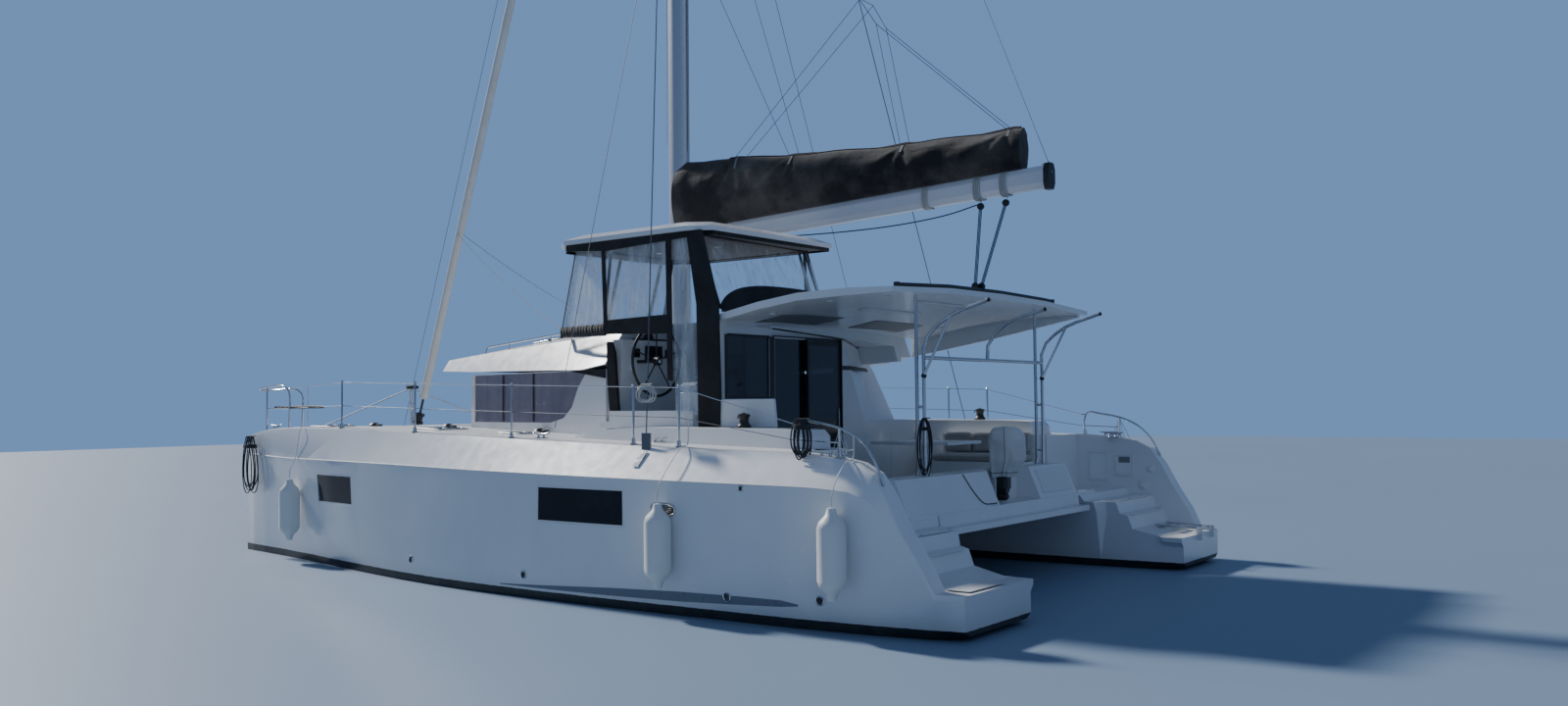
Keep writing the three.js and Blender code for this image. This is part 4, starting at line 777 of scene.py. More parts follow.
# Coachroof and saloon.
ROOF_ROWS = (  # x, upper edge y, upper edge z, crown z
    (3.30, 1.48, 2.80, 2.85), (3.12, 1.62, 2.83, 2.93), (2.30, 1.70, 2.89, 3.09), (0.90, 1.88, 2.97, 3.22),
    (-0.35, 2.02, 3.04, 3.26), (-0.845, 2.08, 3.06, 3.265), (-2.36, 2.15, 3.11, 3.28),
)
ROOF_HATCHES = ((1.35, 1.90, 0.55, 1.10), (1.35, 1.90, -1.10, -0.55), (-0.35, 0.10, -1.45, -1.00),
                (-1.95, -1.40, -1.35, -0.80))
# Painted shade: points of a black strip where the gap under the roof's edge lies in shadow.
ROOF_EDGE_SHADOW = ((-0.15, 2.585), (-0.78, 2.485), (-0.78, 2.598), (-0.30, 2.598))  # x, z
PILLAR_ROWS = (  # z, aft x, front x
    (1.80, -1.085, -0.930), (2.20, -1.035, -0.880), (2.50, -1.010, -0.852), (2.64, -1.000, -0.850),
    (2.80, -0.985, -0.850), (2.93, -0.930, -0.850),
)
MULLION_Z = (1.94, 2.58)


def roof_z(x, y):
    _, edge_y, edge_z, crown = row_at(ROOF_ROWS, x)
    bend, y = 0.55 * edge_y, abs(y)
    soft = lerp(edge_z, crown, 0.72)
    if y < bend:
        return lerp(crown, soft, y / bend)
    return lerp(soft, edge_z, (y - bend) / (0.45 * edge_y))


def roof_slab(shape, x0, x1, y0, y1, low, high):
    grid = [[(x, y, roof_z(x, y) + low) for x in spread(x0, x1, 6)] for y in spread(y0, y1, 6)]
    return shape.slab(grid, (0, 0, high - low))


def roof_details():
    lens, rim, rails = shapes(3)
    for x0, x1, y0, y1 in ROOF_HATCHES:
        roof_slab(rim, x0, x1, y0, y1, 0.003, 0.022)
        roof_slab(lens, x0 + 0.04, x1 - 0.04, y0 + 0.04, y1 - 0.04, 0.018, 0.030)
    lens.done("roof_hatch_lenses", "pane", bevel=0.004)
    rim.done("roof_hatch_rims", "spar", bevel=0.004)
    start = 2.45
    for y, end in ((1.50, 0.15), (-1.50, -1.9)):
        spots = spread(start - 0.08, end + 0.08, 5)
        rail = [(start, y, roof_z(start, y) + 0.002), (start - 0.03, y, roof_z(start, y) + 0.06)]
        rail += [(x, y, roof_z(x, y) + 0.085) for x in spots]
        rail += [(end + 0.03, y, roof_z(end, y) + 0.06), (end, y, roof_z(end, y) + 0.002)]
        rails.tube(curve(rail, 4), 0.0125, 8)
        for x in spots[1:-1:2]:
            rails.tube([(x, y, roof_z(x, y)), (x, y, roof_z(x, y) + 0.085)], 0.010, 8)
    rails.done("roof_handrails", "steel")


def saloon_trim():
    """Black strip of painted shade in the gap under the roof edge, and the black pillar between saloon and
    helm.
    """
    shape, mullions = shapes(2)
    shape.loft([[(x, y, z) for x, z in ROOF_EDGE_SHADOW] for y in (2.315, 2.338)])
    shape.loft([[(a, 2.335, z), (b, 2.335, z), (b, 2.378, z), (a, 2.378, z)] for z, a, b in PILLAR_ROWS])
    shape.done("side_pillar_and_roof_shadow", "black_cloth", bevel=0.006)
    low, high = MULLION_Z
    for x in (1.62, 0.86):
        y = lerp(2.32, 1.74, (x + 0.78) / 3.26)
        mullions.box((x - 0.012, y - 0.002, low), (x + 0.012, y + 0.004, high))
    mullions.mirrored()
    for y in (-0.62, 0.62):
        mullions.box((2.716, y - 0.015, low), (2.726, y + 0.015, high))
    mullions.done("window_mullions", "black")


# Helm station.
TOP_Z = 4.16
TOP_LOOP = ((0.03, 0.42), (0.045, 2.20), (-0.28, 2.50), (-2.34, 2.54), (-2.57, 2.38), (-2.62, 0.09),
            (-0.44, 0.09))
EDGINGS = (  # foot, head, half width, direction out
    ((0.262, 2.088, 3.045), (-0.012, 2.088, 4.10), 0.030, (0.6, 0.8, 0)),
    ((-0.93, 2.462, 3.02), (-0.93, 2.502, 4.10), 0.032, (0, 1, 0)),
    ((-2.025, 2.512, 2.43), (-2.025, 2.532, 4.10), 0.042, (0, 1, 0)),
    ((0.268, 0.44, 3.245), (-0.008, 0.44, 4.10), 0.030, (1, 0, 0)),
    ((0.266, 1.25, 3.17), (-0.010, 1.25, 4.10), 0.026, (1, 0, 0)),
)
BANDS = (  # path in plan, foot z and head z for each of its points
    (((0.262, 2.09), (-0.93, 2.464)), (3.03, 3.0), (3.085, 3.055)),
    (((-0.93, 2.466), (-1.45, 2.492), (-2.02, 2.508)), (3.02, 3.00, 2.98), (3.19, 3.20, 3.21)),
    (((0.275, 0.42), (0.272, 1.85), (0.262, 2.09)), (3.225, 3.065, 3.03), (3.285, 3.125, 3.085)),
)
APRON_ARC = ((-2.72, 2.44, 3.25), (-2.68, 2.25, 3.40), (-2.63, 1.95, 3.50), (-2.60, 1.55, 3.555),
             (-2.57, 1.05, 3.575), (-2.54, 0.55, 3.575), (-2.52, 0.20, 3.56))
ROOF_RAIL = ((-0.55, 2.30, 4.222), (-0.58, 2.30, 4.27), (-1.2, 2.34, 4.285), (-1.9, 2.33, 4.27),
             (-1.93, 2.33, 4.222))
DIALS = ((1.24, 0.11, 0.11), (1.42, 0.11, 0.11), (1.70, 0.30, 0.19), (2.02, 0.11, 0.11))  # y, width, height
DIAL_Z = 2.80
COMPASS = ((0.060, 0), (0.062, 0.03), (0.050, 0.065), (0.030, 0.085), (0.008, 0.092))
WHEEL_AT, WHEEL_R = (-1.32, 1.98, 2.69), 0.43


def wall_strip(shape, path, low, high, thick):
    """An upright strip along a line in plan, with a foot and a head height for each point."""
    rings = []
    for k, (x, y) in enumerate(path):
        a, b = Vector(path[max(k - 1, 0)]), Vector(path[min(k + 1, len(path) - 1)])
        along = (b - a).normalized()
        out = Vector((-along.y, along.x)) * thick / 2
        rings.append([(x - out.x, y - out.y, low[k]), (x + out.x, y + out.y, low[k]),
                      (x + out.x, y + out.y, high[k]), (x - out.x, y - out.y, high[k])])
    return shape.loft(rings)


def helm_cloth():
    """Valance, edgings and lower bands of the helm's enclosure."""
    shape = Shape()
    loop, head = [*TOP_LOOP, TOP_LOOP[0]], TOP_Z - 0.001
    edge = [*loop[:3], (-1.00, 2.515), *loop[3:6]]
    wall_strip(shape, edge, (4.115, 4.105, 4.085, 4.035, 4.085, 4.11, 4.12), [head] * len(edge), 0.014)
    wall_strip(shape, loop[5:], [4.115] * 3, [head] * 3, 0.014)
    for foot, top, half, out in EDGINGS:
        foot, top, out = Vector(foot), Vector(top), Vector(out).normalized()
        across = out.cross(top - foot).normalized() * half
        shape.loft([[p - across, p + across, p + across + out * 0.012, p - across + out * 0.012]
                    for p in (foot, top)])
    for path, low, high in BANDS:
        wall_strip(shape, path, low, high, 0.016)
    shape.done("helm_valance", "black_cloth", bevel=0.003)


def ribbed_roll():
    """The rolled and tied foot of the corner window."""
    shape = Shape()
    a, b, count = Vector((0.235, 2.097, 3.115)), Vector((-0.90, 2.464, 3.095)), 60
    radii = [0.050 + 0.009 * (1 if k % 4 < 2 else -1) + 0.004 * math.sin(k * 0.9) for k in range(count + 1)]
    shape.tube([a.lerp(b, t) for t in spread(0, 1, count)], radii, 10, flat=0.45)
    shape.done("corner_window_roll", "black_cloth", smooth=60)


def cut_size(rows):
    """The width, the height and the area that a grid of points has when it is laid flat."""
    rows = [[Vector(p) for p in row] for row in rows]

    def longest(lines):
        return max(sum((q - p).length for p, q in zip(line, line[1:])) for line in lines)
    area = sum(((b - c).cross(a - d)).length / 2
               for low, high in zip(rows, rows[1:]) for a, b, c, d in zip(low[1:], high[1:], low, high))
    return (longest(rows), longest(zip(*rows))), area


def aft_window():
    """Clear panel behind the helm with its black apron over the front edge of the cockpit hardtop."""
    apron, clear, edge, poles = shapes(4)
    arc = curve(APRON_ARC, 4)
    feet = [(p.x - 0.03, p.y, max(3.20, 3.255 - 0.02 * p.y)) for p in arc]
    grid = [feet, [(Vector(f) + p) / 2 + Vector((-0.025, 0, 0)) for f, p in zip(feet, arc)], arc]
    black = apron.slab(grid, (0.012, 0, 0)).done("helm_apron", "black_cloth", smooth=60)
    tops = [Vector((x, p.y, 4.08)) for x, p in zip(spread(-2.42, -2.33, len(arc) - 1), arc)]
    rows = [[p.lerp(q, t) for p, q in zip(arc, tops)] for t in spread(0, 1, 4)]
    panel = clear.slab(rows, (0.003, 0, 0)).done("helm_aft_window", "clear")
    edge.tube(arc, 0.016, 6)
    for side in (-1, 0):
        edge.tube([row[side] for row in rows], 0.020, 6)
    edging = edge.done("helm_aft_edging", "black_cloth")
    for piece, points, sewn in ((black, grid, []), (panel, rows, [edging])):
        flat, area = cut_size(points)
    for y, shift in ((0.30, 0.0), (0.22, -0.07)):
        poles.tube([(-2.56 + shift, y, 3.27), (-2.28 + shift, y, 4.14)], 0.019, 10)
    poles.done("helm_aft_poles", "steel")


def helm_roof_trim():
    lip, lights, rails = shapes(3)
    outline = [(x * 0.96 - 0.05, 0.30 + (y - 0.30) * 0.96 + 0.02) for x, y in TOP_LOOP]
    lip.loft([[(x, y, z) for x, y in outline] for z in (TOP_Z - 0.022, TOP_Z - 0.002)])
    lip.done("helm_roof_liner", "black_cloth", bevel=0.006)
    for x in (-0.75, -1.75):
        lights.lathe(((0.045, 0), (0.045, -0.008), (0.034, -0.012)), (x, 1.3, TOP_Z - 0.023), sides=20)
    lights.done("helm_roof_lights", "white_plastic")
    rails.tube(curve(ROOF_RAIL, 4), 0.011, 8)
    rails.done("helm_roof_rail", "steel")


def helm_controls():
    """Instruments in the helm's panel, a compass on its top and two throttle levers."""
    black, face, steel = shapes(3)
    for y, wide, tall in DIALS:
        low, high, foot, head = y - wide / 2, y + wide / 2, DIAL_Z - tall / 2, DIAL_Z + tall / 2
        black.box((-1.030, low, foot), (-1.003, high, head))
        face.box((-1.034, low + 0.012, foot + 0.014), (-1.0295, high - 0.012, head - 0.014))
    black.box((-1.02, 1.45, 2.965), (-0.88, 1.95, 2.985))
    black.lathe(COMPASS, (-0.93, 1.70, 2.984))
    black.done("helm_instruments", "black", bevel=0.004)
    face.done("helm_screens", "pane", bevel=0.002)
    for y in (1.28, 1.325):
        steel.tube([(-1.01, y, 2.60), (-1.08, y, 2.62), (-1.10, y, 2.74)], 0.008, 8)
        steel.lathe(((0.013, 0), (0.018, 0.012), (0.013, 0.03)), (-1.10, y, 2.735), sides=12)
    steel.done("helm_levers", "steel")


def wheel_trim():
    steel, wrap = shapes(2)
    x, y, z = WHEEL_AT
    steel.lathe(((0.030, 0), (0.034, 0.010), (0.026, 0.022), (0.010, 0.026)), (x - 0.055, y, z), (-1, 0, 0))
    steel.done("wheel_cap", "steel", body="wheel")
    loop = [(x, y + WHEEL_R * math.sin(a), z + WHEEL_R * math.cos(a)) for a in angles(96)]
    wrap.tube(loop, [0.0178 + 0.0012 * (k % 2) for k in range(96)], 12, closed=True)
    wrap.done("wheel_wrap", "black", body="wheel", smooth=60)


# Mainsail cover: a soft bag on the boom whose front reaches past the mast's sides.
BOOM_FRONT, BOOM_Z, BOOM_SLOPE, BOOM_HALF = -0.50, 4.505, 0.049, 0.130
BOOM_SECTION = ((0.3, 0.5), (0.5, 0.25), (0.5, -0.25), (0.3, -0.5), (-0.3, -0.5), (-0.5, -0.25), (-0.5, 0.25),
                (-0.3, 0.5))
BAG_ROWS = (  # x, high z, half width
    (0.02, 5.600, 0.165), (-0.16, 5.605, 0.190), (-0.47, 5.590, 0.205), (-0.90, 5.560, 0.215),
    (-1.60, 5.500, 0.225), (-2.40, 5.445, 0.230), (-3.20, 5.400, 0.225), (-4.00, 5.375, 0.215),
    (-4.75, 5.368, 0.195), (-5.30, 5.374, 0.165), (-5.365, 5.370, 0.150),
)
BAG_LOOPS = (-1.07, -2.02, -3.74, -5.20)
BAG_SHAPE = (  # share of the height, share of the half width
    (0.0, 0.36), (0.03, 0.52), (0.16, 0.78), (0.34, 0.96), (0.52, 1.0), (0.68, 0.90), (0.82, 0.66),
    (0.93, 0.38), (0.99, 0.20), (1.0, 0.0),
)
LASHINGS = (-4.03, -4.055, -4.08, -4.10, -4.74, -4.765, -4.79, -4.82, -5.09, -5.115, -5.14, -5.165)
REEF_PATH = ((-1.83, 0.0, 4.39), (-2.8, 0.02, 4.365), (-3.6, 0.02, 4.375), (-4.3, 0.02, 4.43),
             (-4.79, 0.0, 4.53))


def boom_z(x):
    return BOOM_Z + (BOOM_FRONT - x) * BOOM_SLOPE


def bag_point(x, up, side):
    """A point on the cover's cloth; up runs from the boom (0) to the closed top (1)."""
    _, high, wide = row_at(BAG_ROWS, x)
    low = boom_z(x) + BOOM_HALF
    place = up * (len(BAG_SHAPE) - 1)
    k = min(int(place), len(BAG_SHAPE) - 2)
    rise, share = [lerp(a, b, place - k) for a, b in zip(BAG_SHAPE[k], BAG_SHAPE[k + 1])]
    belly, fall = math.sin(math.pi * rise), 1 - rise
    pull = max(math.exp(-((x - loop + 0.10 * fall) / (0.10 + 0.30 * fall)) ** 2) for loop in BAG_LOOPS)
    upper = max(0.0, rise - 0.30) / 0.70
    drift = 1.3 * math.sin(1.7 * x + side)
    folds = 0.018 * math.sin(7.3 * x + 9 * rise + drift) + 0.007 * math.sin(17 * x - 5 * rise + 2 * drift)
    crease = 0.0
    for loop in BAG_LOOPS:
        dx, dz = x - loop, 0.8 * fall
        far = math.hypot(dx, dz)
        ray = math.sin(9 * math.atan2(dz, dx) + 3 * loop)
        crease += 0.017 * ray * math.exp(-(far / 0.55) ** 2) * min(1, far / 0.12)
    slump = 0.020 * math.sin(2.6 * x + 1.2 * side) + 0.010 * math.sin(4.9 * x + 3 * rise)
    y = wide * share + belly * (upper * folds * (1 - 0.5 * pull) + crease + slump - 0.030 * pull)
    droop = 0.012 * math.sin(4.3 * x + side) * rise ** 2 + 0.010 * (pull - 0.5) * rise
    return (x, side * max(y, 0.0), lerp(low, high, rise) + droop)


def sail_cover():
    shell, loops, zip_line = shapes(3)
    xs, ups = spread(BAG_ROWS[0][0], BAG_ROWS[-1][0], 150), spread(0, 1, 30)
    shell.loft([[bag_point(x, up, 1) for up in ups] + [bag_point(x, up, -1) for up in reversed(ups[:-1])]
                for x in xs])
    cover = shell.loose("sail_cover", "canvas", smooth=70)
    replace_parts(cover, "sail_bag")
    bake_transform(cover)
    ring = ((0.012, -0.004), (0.020, -0.004), (0.020, 0.004), (0.012, 0.004), (0.012, -0.004))
    half = 0.016
    for x in BAG_LOOPS:
        for s in (1, -1):
            outline = [bag_point(x, 0.66 + 0.30 * k / 6, s) for k in range(7)]
            loops.loft([[(px - half, py + s * 0.003, pz), (px + half, py + s * 0.003, pz),
                         (px + half, py + s * 0.008, pz), (px - half, py + s * 0.008, pz)]
                        for px, py, pz in outline])
            px, py, pz = outline[-2]
            loops.lathe(ring, (px, py + s * 0.012, pz), (0, 1, 0), 14)
    loops.done("sail_cover_loops", "grey", "canvas", body="boom")
    for s in (1, -1):
        zip_line.tube([(x, 0.012 * s, bag_point(x, 1.0, s)[2] + 0.006) for x in xs[26:-1]], 0.011, 5)
    zip_line.done("sail_cover_zip", "black_cloth", body="boom")


def boom_details():
    black, lash, steel, line = shapes(4)
    black.loft([[(x, a * 0.180, boom_z(x) + b * 0.308) for a, b in BOOM_SECTION] for x in (-5.640, -5.714)])
    black.done("boom_cap", "black", body="boom", bevel=0.004)
    for x in LASHINGS:
        loop = [(x + 0.012 * math.sin(k), a * 0.168, boom_z(x) + b * 0.278)
                for k, (a, b) in enumerate(BOOM_SECTION)]
        lash.tube(curve(loop + loop[:1], 3), 0.009, 6)
    lash.done("boom_lashings", "pale_rope", body="boom")
    for x, z in ((-4.79, 4.585), (-5.14, 4.602)):
        steel.box((x - 0.045, -0.03, z - 0.004), (x + 0.045, 0.03, z + 0.012))
        steel.tube([(x - 0.02, 0, z), (x, 0, z - 0.045), (x + 0.02, 0, z)], 0.006, 6)
    steel.done("boom_bails", "steel", body="boom")
    line.tube(curve(REEF_PATH, 8), 0.008, 6)
    line.done("reef_line", "dark_rope", body="boom")


# Rigging.
SHEET_PAD = (-4.88, 0.30, 3.44)
SHEET_ENDS = (((-4.79, 0.0, 4.56), (-4.865, 0.335, 3.44)), ((-5.14, 0.0, 4.57), (-4.895, 0.265, 3.44)))
PAD_PROFILE = ((0.075, -0.012), (0.075, 0.0), (0.060, 0.010), (0.046, 0.014), (0.040, 0.040))
SHEET_BLOCK = ((0.010, -0.022), (0.040, -0.020), (0.044, -0.006), (0.044, 0.006), (0.040, 0.020),
               (0.010, 0.022))
JIB_BLOCK = ((0.010, -0.02), (0.036, -0.018), (0.040, 0), (0.036, 0.018), (0.010, 0.02))


def standing_rigging():
    wire, halyard, track = shapes(3)
    for s in (1, -1):
        wire.tube([(-1.10, s * 3.47, 1.90), (-0.62, s * 1.20, 8.86)], 0.0045, 6)
        wire.tube([(-0.05, s * 0.09, 8.8), (-0.62, s * 1.225, 8.90), (-0.40, s * 0.88, 13.6),
                   (-0.02, s * 0.06, 19.0)], 0.004, 6)
    wire.tube([(0.15, 0.0, 19.6), (6.44, 0.0, 1.66)], 0.004, 6)
    wire.done("stays", "wire")
    for x, y in ((0.222, 0.035), (0.224, -0.03), (-0.158, 0.0)):
        halyard.tube([(x, y, 5.9), (x - 0.01, y, 12.5), (x - 0.02, y, 19.2)], 0.005, 6)
    halyard.done("halyards", "pale_rope")
    track.box((-0.155, -0.014, 5.75), (-0.146, 0.014, 18.9))
    track.done("sail_track", "spar")


def swung(shape, name, look):
    """A line between the platform and the boom, made as one loose piece in its place at rest."""
    line = shape.loose(name, look, "sail_white")
    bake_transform(line)


def lazy_jacks():
    """Lines that hold the cover up from the spreaders, and the line from the masthead to the boom's end."""
    lines, topping = shapes(2)
    for s in (1, -1):
        spreader, knot, high = (-0.55, s * 0.62, 9.0), (-3.19, s * 0.16, 7.30), (-3.41, s * 0.12, 6.95)
        for a, b in ((spreader, knot), (knot, high)):
            lines.tube([a, b], 0.004, 6)
        for a, b in ((knot, (-1.07, s * 0.10, 5.53)), (spreader, (-2.02, s * 0.12, 5.45)),
                     (high, (-3.74, s * 0.12, 5.37)), (high, (-5.20, s * 0.12, 5.36))):
            lines.tube([a, b], 0.0035, 6)
    swung(lines, "lazy_jacks", "dark_rope")
    head, tail = Vector((-0.05, 0.0, 19.5)), Vector((-5.72, 0.0, 4.80))
    topping.tube([head.lerp(tail, t) for t in spread(0, 1, 12)], 0.005, 6)
    swung(topping, "topping_lift", "pale_rope")


def mainsheet():
    """Two tackles from the boom to one pad on the cockpit hardtop."""
    line, blocks, tops, pads = shapes(4)
    pads.lathe(PAD_PROFILE, SHEET_PAD, sides=24)
    for head, foot in SHEET_ENDS:
        head, foot = Vector(head), Vector(foot)
        away = (foot - head).normalized()
        for shift in (-0.016, 0.0, 0.016):
            offset = Vector((shift, 0, 0))
            a, b = head + away * 0.10 + offset, foot - away * 0.10 + offset
            line.tube([a.lerp(b, t) for t in spread(0, 1, 10)], 0.006, 6)
        for target, at in ((tops, head + away * 0.07), (blocks, foot - away * 0.07)):
            target.lathe(SHEET_BLOCK, at, (0, 1, 0))
    swung(line, "mainsheets", "dark_rope")
    pads.done("sheet_pad", "steel")
    tops.done("sheet_blocks_high", "black", body="boom")
    blocks.done("sheet_blocks_low", "black")


def jib_details():
    sheet, blocks, track = shapes(3)
    for s in (1, -1):
        a, b = Vector((4.93, s * 0.05, 5.05)), Vector((1.70, s * 0.62, 3.22))
        sheet.tube([a.lerp(b, t) - UP * 0.40 * t * (1 - t) for t in spread(0, 1, 16)], 0.006, 6)
        blocks.lathe(JIB_BLOCK, (1.67, s * 0.62, 3.21), (0, 1, 0), 18)
    sheet.done("jib_sheets", "pale_rope")
    blocks.done("jib_sheet_blocks", "black")
    x = 1.52
    track.tube([(x, y, roof_z(x, y) + 0.018) for y in spread(-1.15, 1.15, 12)], 0.016, 6, flat=0.6)
    track.done("jib_track", "black", "aluminium")


# Rails.
GUARD_POSTS = ((3.35, 3.26), (1.60, 3.37), (-0.35, 3.46), (-2.355, 3.49), (-3.015, 3.49))
POST_TOP, LOWER_WIRE = 0.626, 0.30
POST_FOOT = ((0.045, 0), (0.045, 0.006), (0.024, 0.012), (0.020, 0.060), (0.0145, 0.062))


def lower_wires():
    wire, caps = shapes(2)
    posts = [(x, y, deck_z(x) + LOWER_WIRE) for x, y in GUARD_POSTS]
    spots = [(4.955, 3.06, 2.15), *posts, (-4.53, 3.49, 1.79)]
    for a, b in zip(spots, spots[1:]):
        wire.tube([a, b], 0.004, 6)
    wire.mirrored().done("lower_guard_wires", "wire")
    for x, y in (*GUARD_POSTS, (-4.56, 3.49), (-5.07, 3.50)):
        caps.lathe(POST_FOOT, (x, y, deck_z(x) - 0.001), sides=18)
    for x, y in GUARD_POSTS:
        caps.lathe(((0.016, 0), (0.018, 0.012), (0.010, 0.024)), (x, y, deck_z(x) + POST_TOP), sides=14)
    caps.mirrored().done("rail_feet", "steel")


# Cockpit.
WINCHES = (("hull_port", -3.225, 2.65), ("hull_starboard", -3.225, -2.85))
WINCH_DRUM = ((0.080, 0), (0.080, 0.022), (0.062, 0.040), (0.051, 0.070), (0.052, 0.100), (0.064, 0.122))
WINCH_CAP = ((0.064, 0.123), (0.068, 0.130), (0.068, 0.146), (0.044, 0.156), (0.020, 0.158), (0.018, 0.166))
BULKHEAD_STRIPS = (  # y from, y to, z from, z to
    (0.940, 1.035, 2.19, 2.985), (1.876, 1.925, 2.19, 2.985), (1.035, 1.876, 2.19, 2.238),
    (1.035, 1.876, 2.974, 2.998), (-0.535, -0.495, 0.97, 2.985),
)
DOOR_STRIPS = ((-0.45, -0.405, 1.0, 2.96), (0.235, 0.28, 1.0, 2.96), (-0.405, 0.235, 1.0, 1.07),
               (-0.405, 0.235, 2.90, 2.96))
DOOR_HANDLE = ((-2.400, 1.82), (-2.416, 1.83), (-2.418, 1.95), (-2.416, 2.07), (-2.400, 2.08))  # x, z
ROLLER_X = -5.022
# Painted shade: flat grey plates on the white ceiling where its recesses lie in shadow.
SHADED_RECESSES = (  # x from, x to, y from, y to
    (-3.05, -2.62, 0.40, 1.66), (-3.05, -2.62, -1.55, -0.35),
)
LAMPS = ((-3.62, -3.50, -0.55, 0.75), (-4.42, -4.30, -0.55, 0.75))
SPOTS = ((-3.1, 1.95), (-3.9, 1.95), (-4.6, 1.85), (-3.1, -1.95), (-3.9, -1.95), (-4.6, -1.85))
POST_XS, POST_Y = (-4.75, -4.84), 1.5
POST_PLATE = ((0.052, 0), (0.052, 0.006), (0.032, 0.012), (0.0285, 0.05), (0.0225, 0.052))


def winches():
    drums, caps, block = shapes(3)
    for node, x, y in WINCHES:
        z = top_of(node, x, y)
        drums.lathe(WINCH_DRUM, (x, y, z), sides=28)
        caps.lathe(WINCH_CAP, (x, y, z), sides=28)
        caps.tube([(x + 0.03, y, z + 0.128), (x + 0.085, y, z + 0.132), (x + 0.088, y, z + 0.100)], 0.007, 8)
    drums.done("winch_drums", "black")
    caps.done("winch_caps", "black")
    z = top_of("hull_port", -3.1, 2.49) - 0.001
    ends = ((-3.55, -2.77, 2.455, 2.525, z, z), (-3.53, -2.775, 2.465, 2.510, 2.205, 2.210))
    block.loft([[(x0, y0, aft_z), (x1, y0, front_z), (x1, y1, front_z), (x0, y1, aft_z)]
                for x0, x1, y0, y1, aft_z, front_z in ends])
    block.done("coaming_board", "smooth", bevel=0.012)


def bulkhead_trim():
    black, shadow_gap = shapes(2)
    for y0, y1, z0, z1 in BULKHEAD_STRIPS:
        black.box((-2.3655, y0, z0), (-2.3602, y1, z1))
    black.done("bulkhead_frames", "black", bevel=0.002)

    def wing_foot(z, part):
        """A point on the raked wing of the bulkhead, part of the way to its end."""
        join, end = -1.21 + (z - 1.69) * 0.485, -2.135 + (z - 1.69) * 0.5
        return (lerp(-2.36, end, part) - 0.0015, lerp(join, -2.425, part), z)
    # Painted shade: a thin black plate where the gap between the bulkhead's top and the roof lies in shadow.
    rows = [[(-2.3615, -0.512, z), *(wing_foot(z, part) for part in (0.0, 0.36, 0.72))]
            for z in (2.595, 2.652)]
    shadow_gap.slab(rows, (-0.005, -0.0015, 0)).done("bulkhead_shadow_gap", "black")


def door_trim():
    edges, handle = shapes(2)
    for y0, y1, z0, z1 in DOOR_STRIPS:
        edges.box((-2.4014, y0, z0), (-2.3995, y1, z1))
    edges.done("door_edges", "black", body="door")
    handle.tube(curve([(x, -0.405, z) for x, z in DOOR_HANDLE], 3), 0.007, 8)
    handle.done("door_handle", "steel", body="door")


def on_ceiling(shape, patches, thick):
    """Plates that follow the underside of the cockpit's hardtop."""
    for x0, x1, y0, y1 in patches:
        grid = [[(x, y, under_hardtop(x, y) - 0.0005) for y in spread(y0, y1, 6)] for x in spread(x0, x1, 5)]
        shape.slab(grid, (0, 0, thick))
    return shape


def hardtop_trim():
    roller, spots, corner = shapes(3)

    def roof(y):
        return top_of("cockpit_hardtop", ROLLER_X, y, 4.0)
    roller.tube([(ROLLER_X, y, roof(y) + 0.021) for y in spread(2.34, -1.45, 24)], 0.022, 12)
    for y in (2.34, 0.45, -1.45):
        roller.box((-5.046, y - 0.02, roof(y) - 0.001), (-4.995, y + 0.02, roof(y) + 0.047))
    roller.done("aft_screen_roller", "black")
    # Grey plates of painted shade in the ceiling's recesses.
    on_ceiling(Shape(), SHADED_RECESSES, -0.006).done("hardtop_recess_shade", "grey", "gelcoat")
    on_ceiling(Shape(), LAMPS, -0.010).done("hardtop_lamps", "white_plastic")
    for x, y in SPOTS:
        spots.lathe(((0.040, 0.004), (0.040, -0.006), (0.030, -0.010)), (x, y, under_hardtop(x, y)))
    spots.done("hardtop_spots", "white_plastic")
    top = under_hardtop(-2.55, 2.30) + 0.004
    post = [(-2.548, 2.30, top), (-2.556, 2.32, 2.5), (-2.56, 2.34, 2.0), (-2.56, 2.345, 1.02)]
    corner.tube(post, 0.016, 10)
    corner.lathe(((0.034, 0), (0.034, 0.006), (0.018, 0.014)), (-2.56, 2.345, 1.012), sides=18)
    corner.done("hardtop_corner_post", "steel")


def davit_fittings():
    black, feet = shapes(2)
    cap = ((0.024, -0.012), (0.026, 0.0), (0.020, 0.012))
    ring = ((0.026, -0.02), (0.030, -0.012), (0.030, 0.012), (0.026, 0.02))
    for x, y, z in ((-5.646, POST_Y, 3.235), (-5.596, 0, 3.215), (-5.646, -POST_Y, 3.235)):
        black.lathe(cap, (x, y, z), (-0.94, 0, 0.33), 16)
    for y in (POST_Y, -POST_Y):
        black.lathe(ring, (-4.84, y, 2.44), (-0.4, 0, 0.9), 14)
        for x in POST_XS:
            feet.lathe(POST_PLATE, (x, y, 1.3451), sides=22)
    black.done("davit_caps", "black")
    feet.done("davit_feet", "steel")


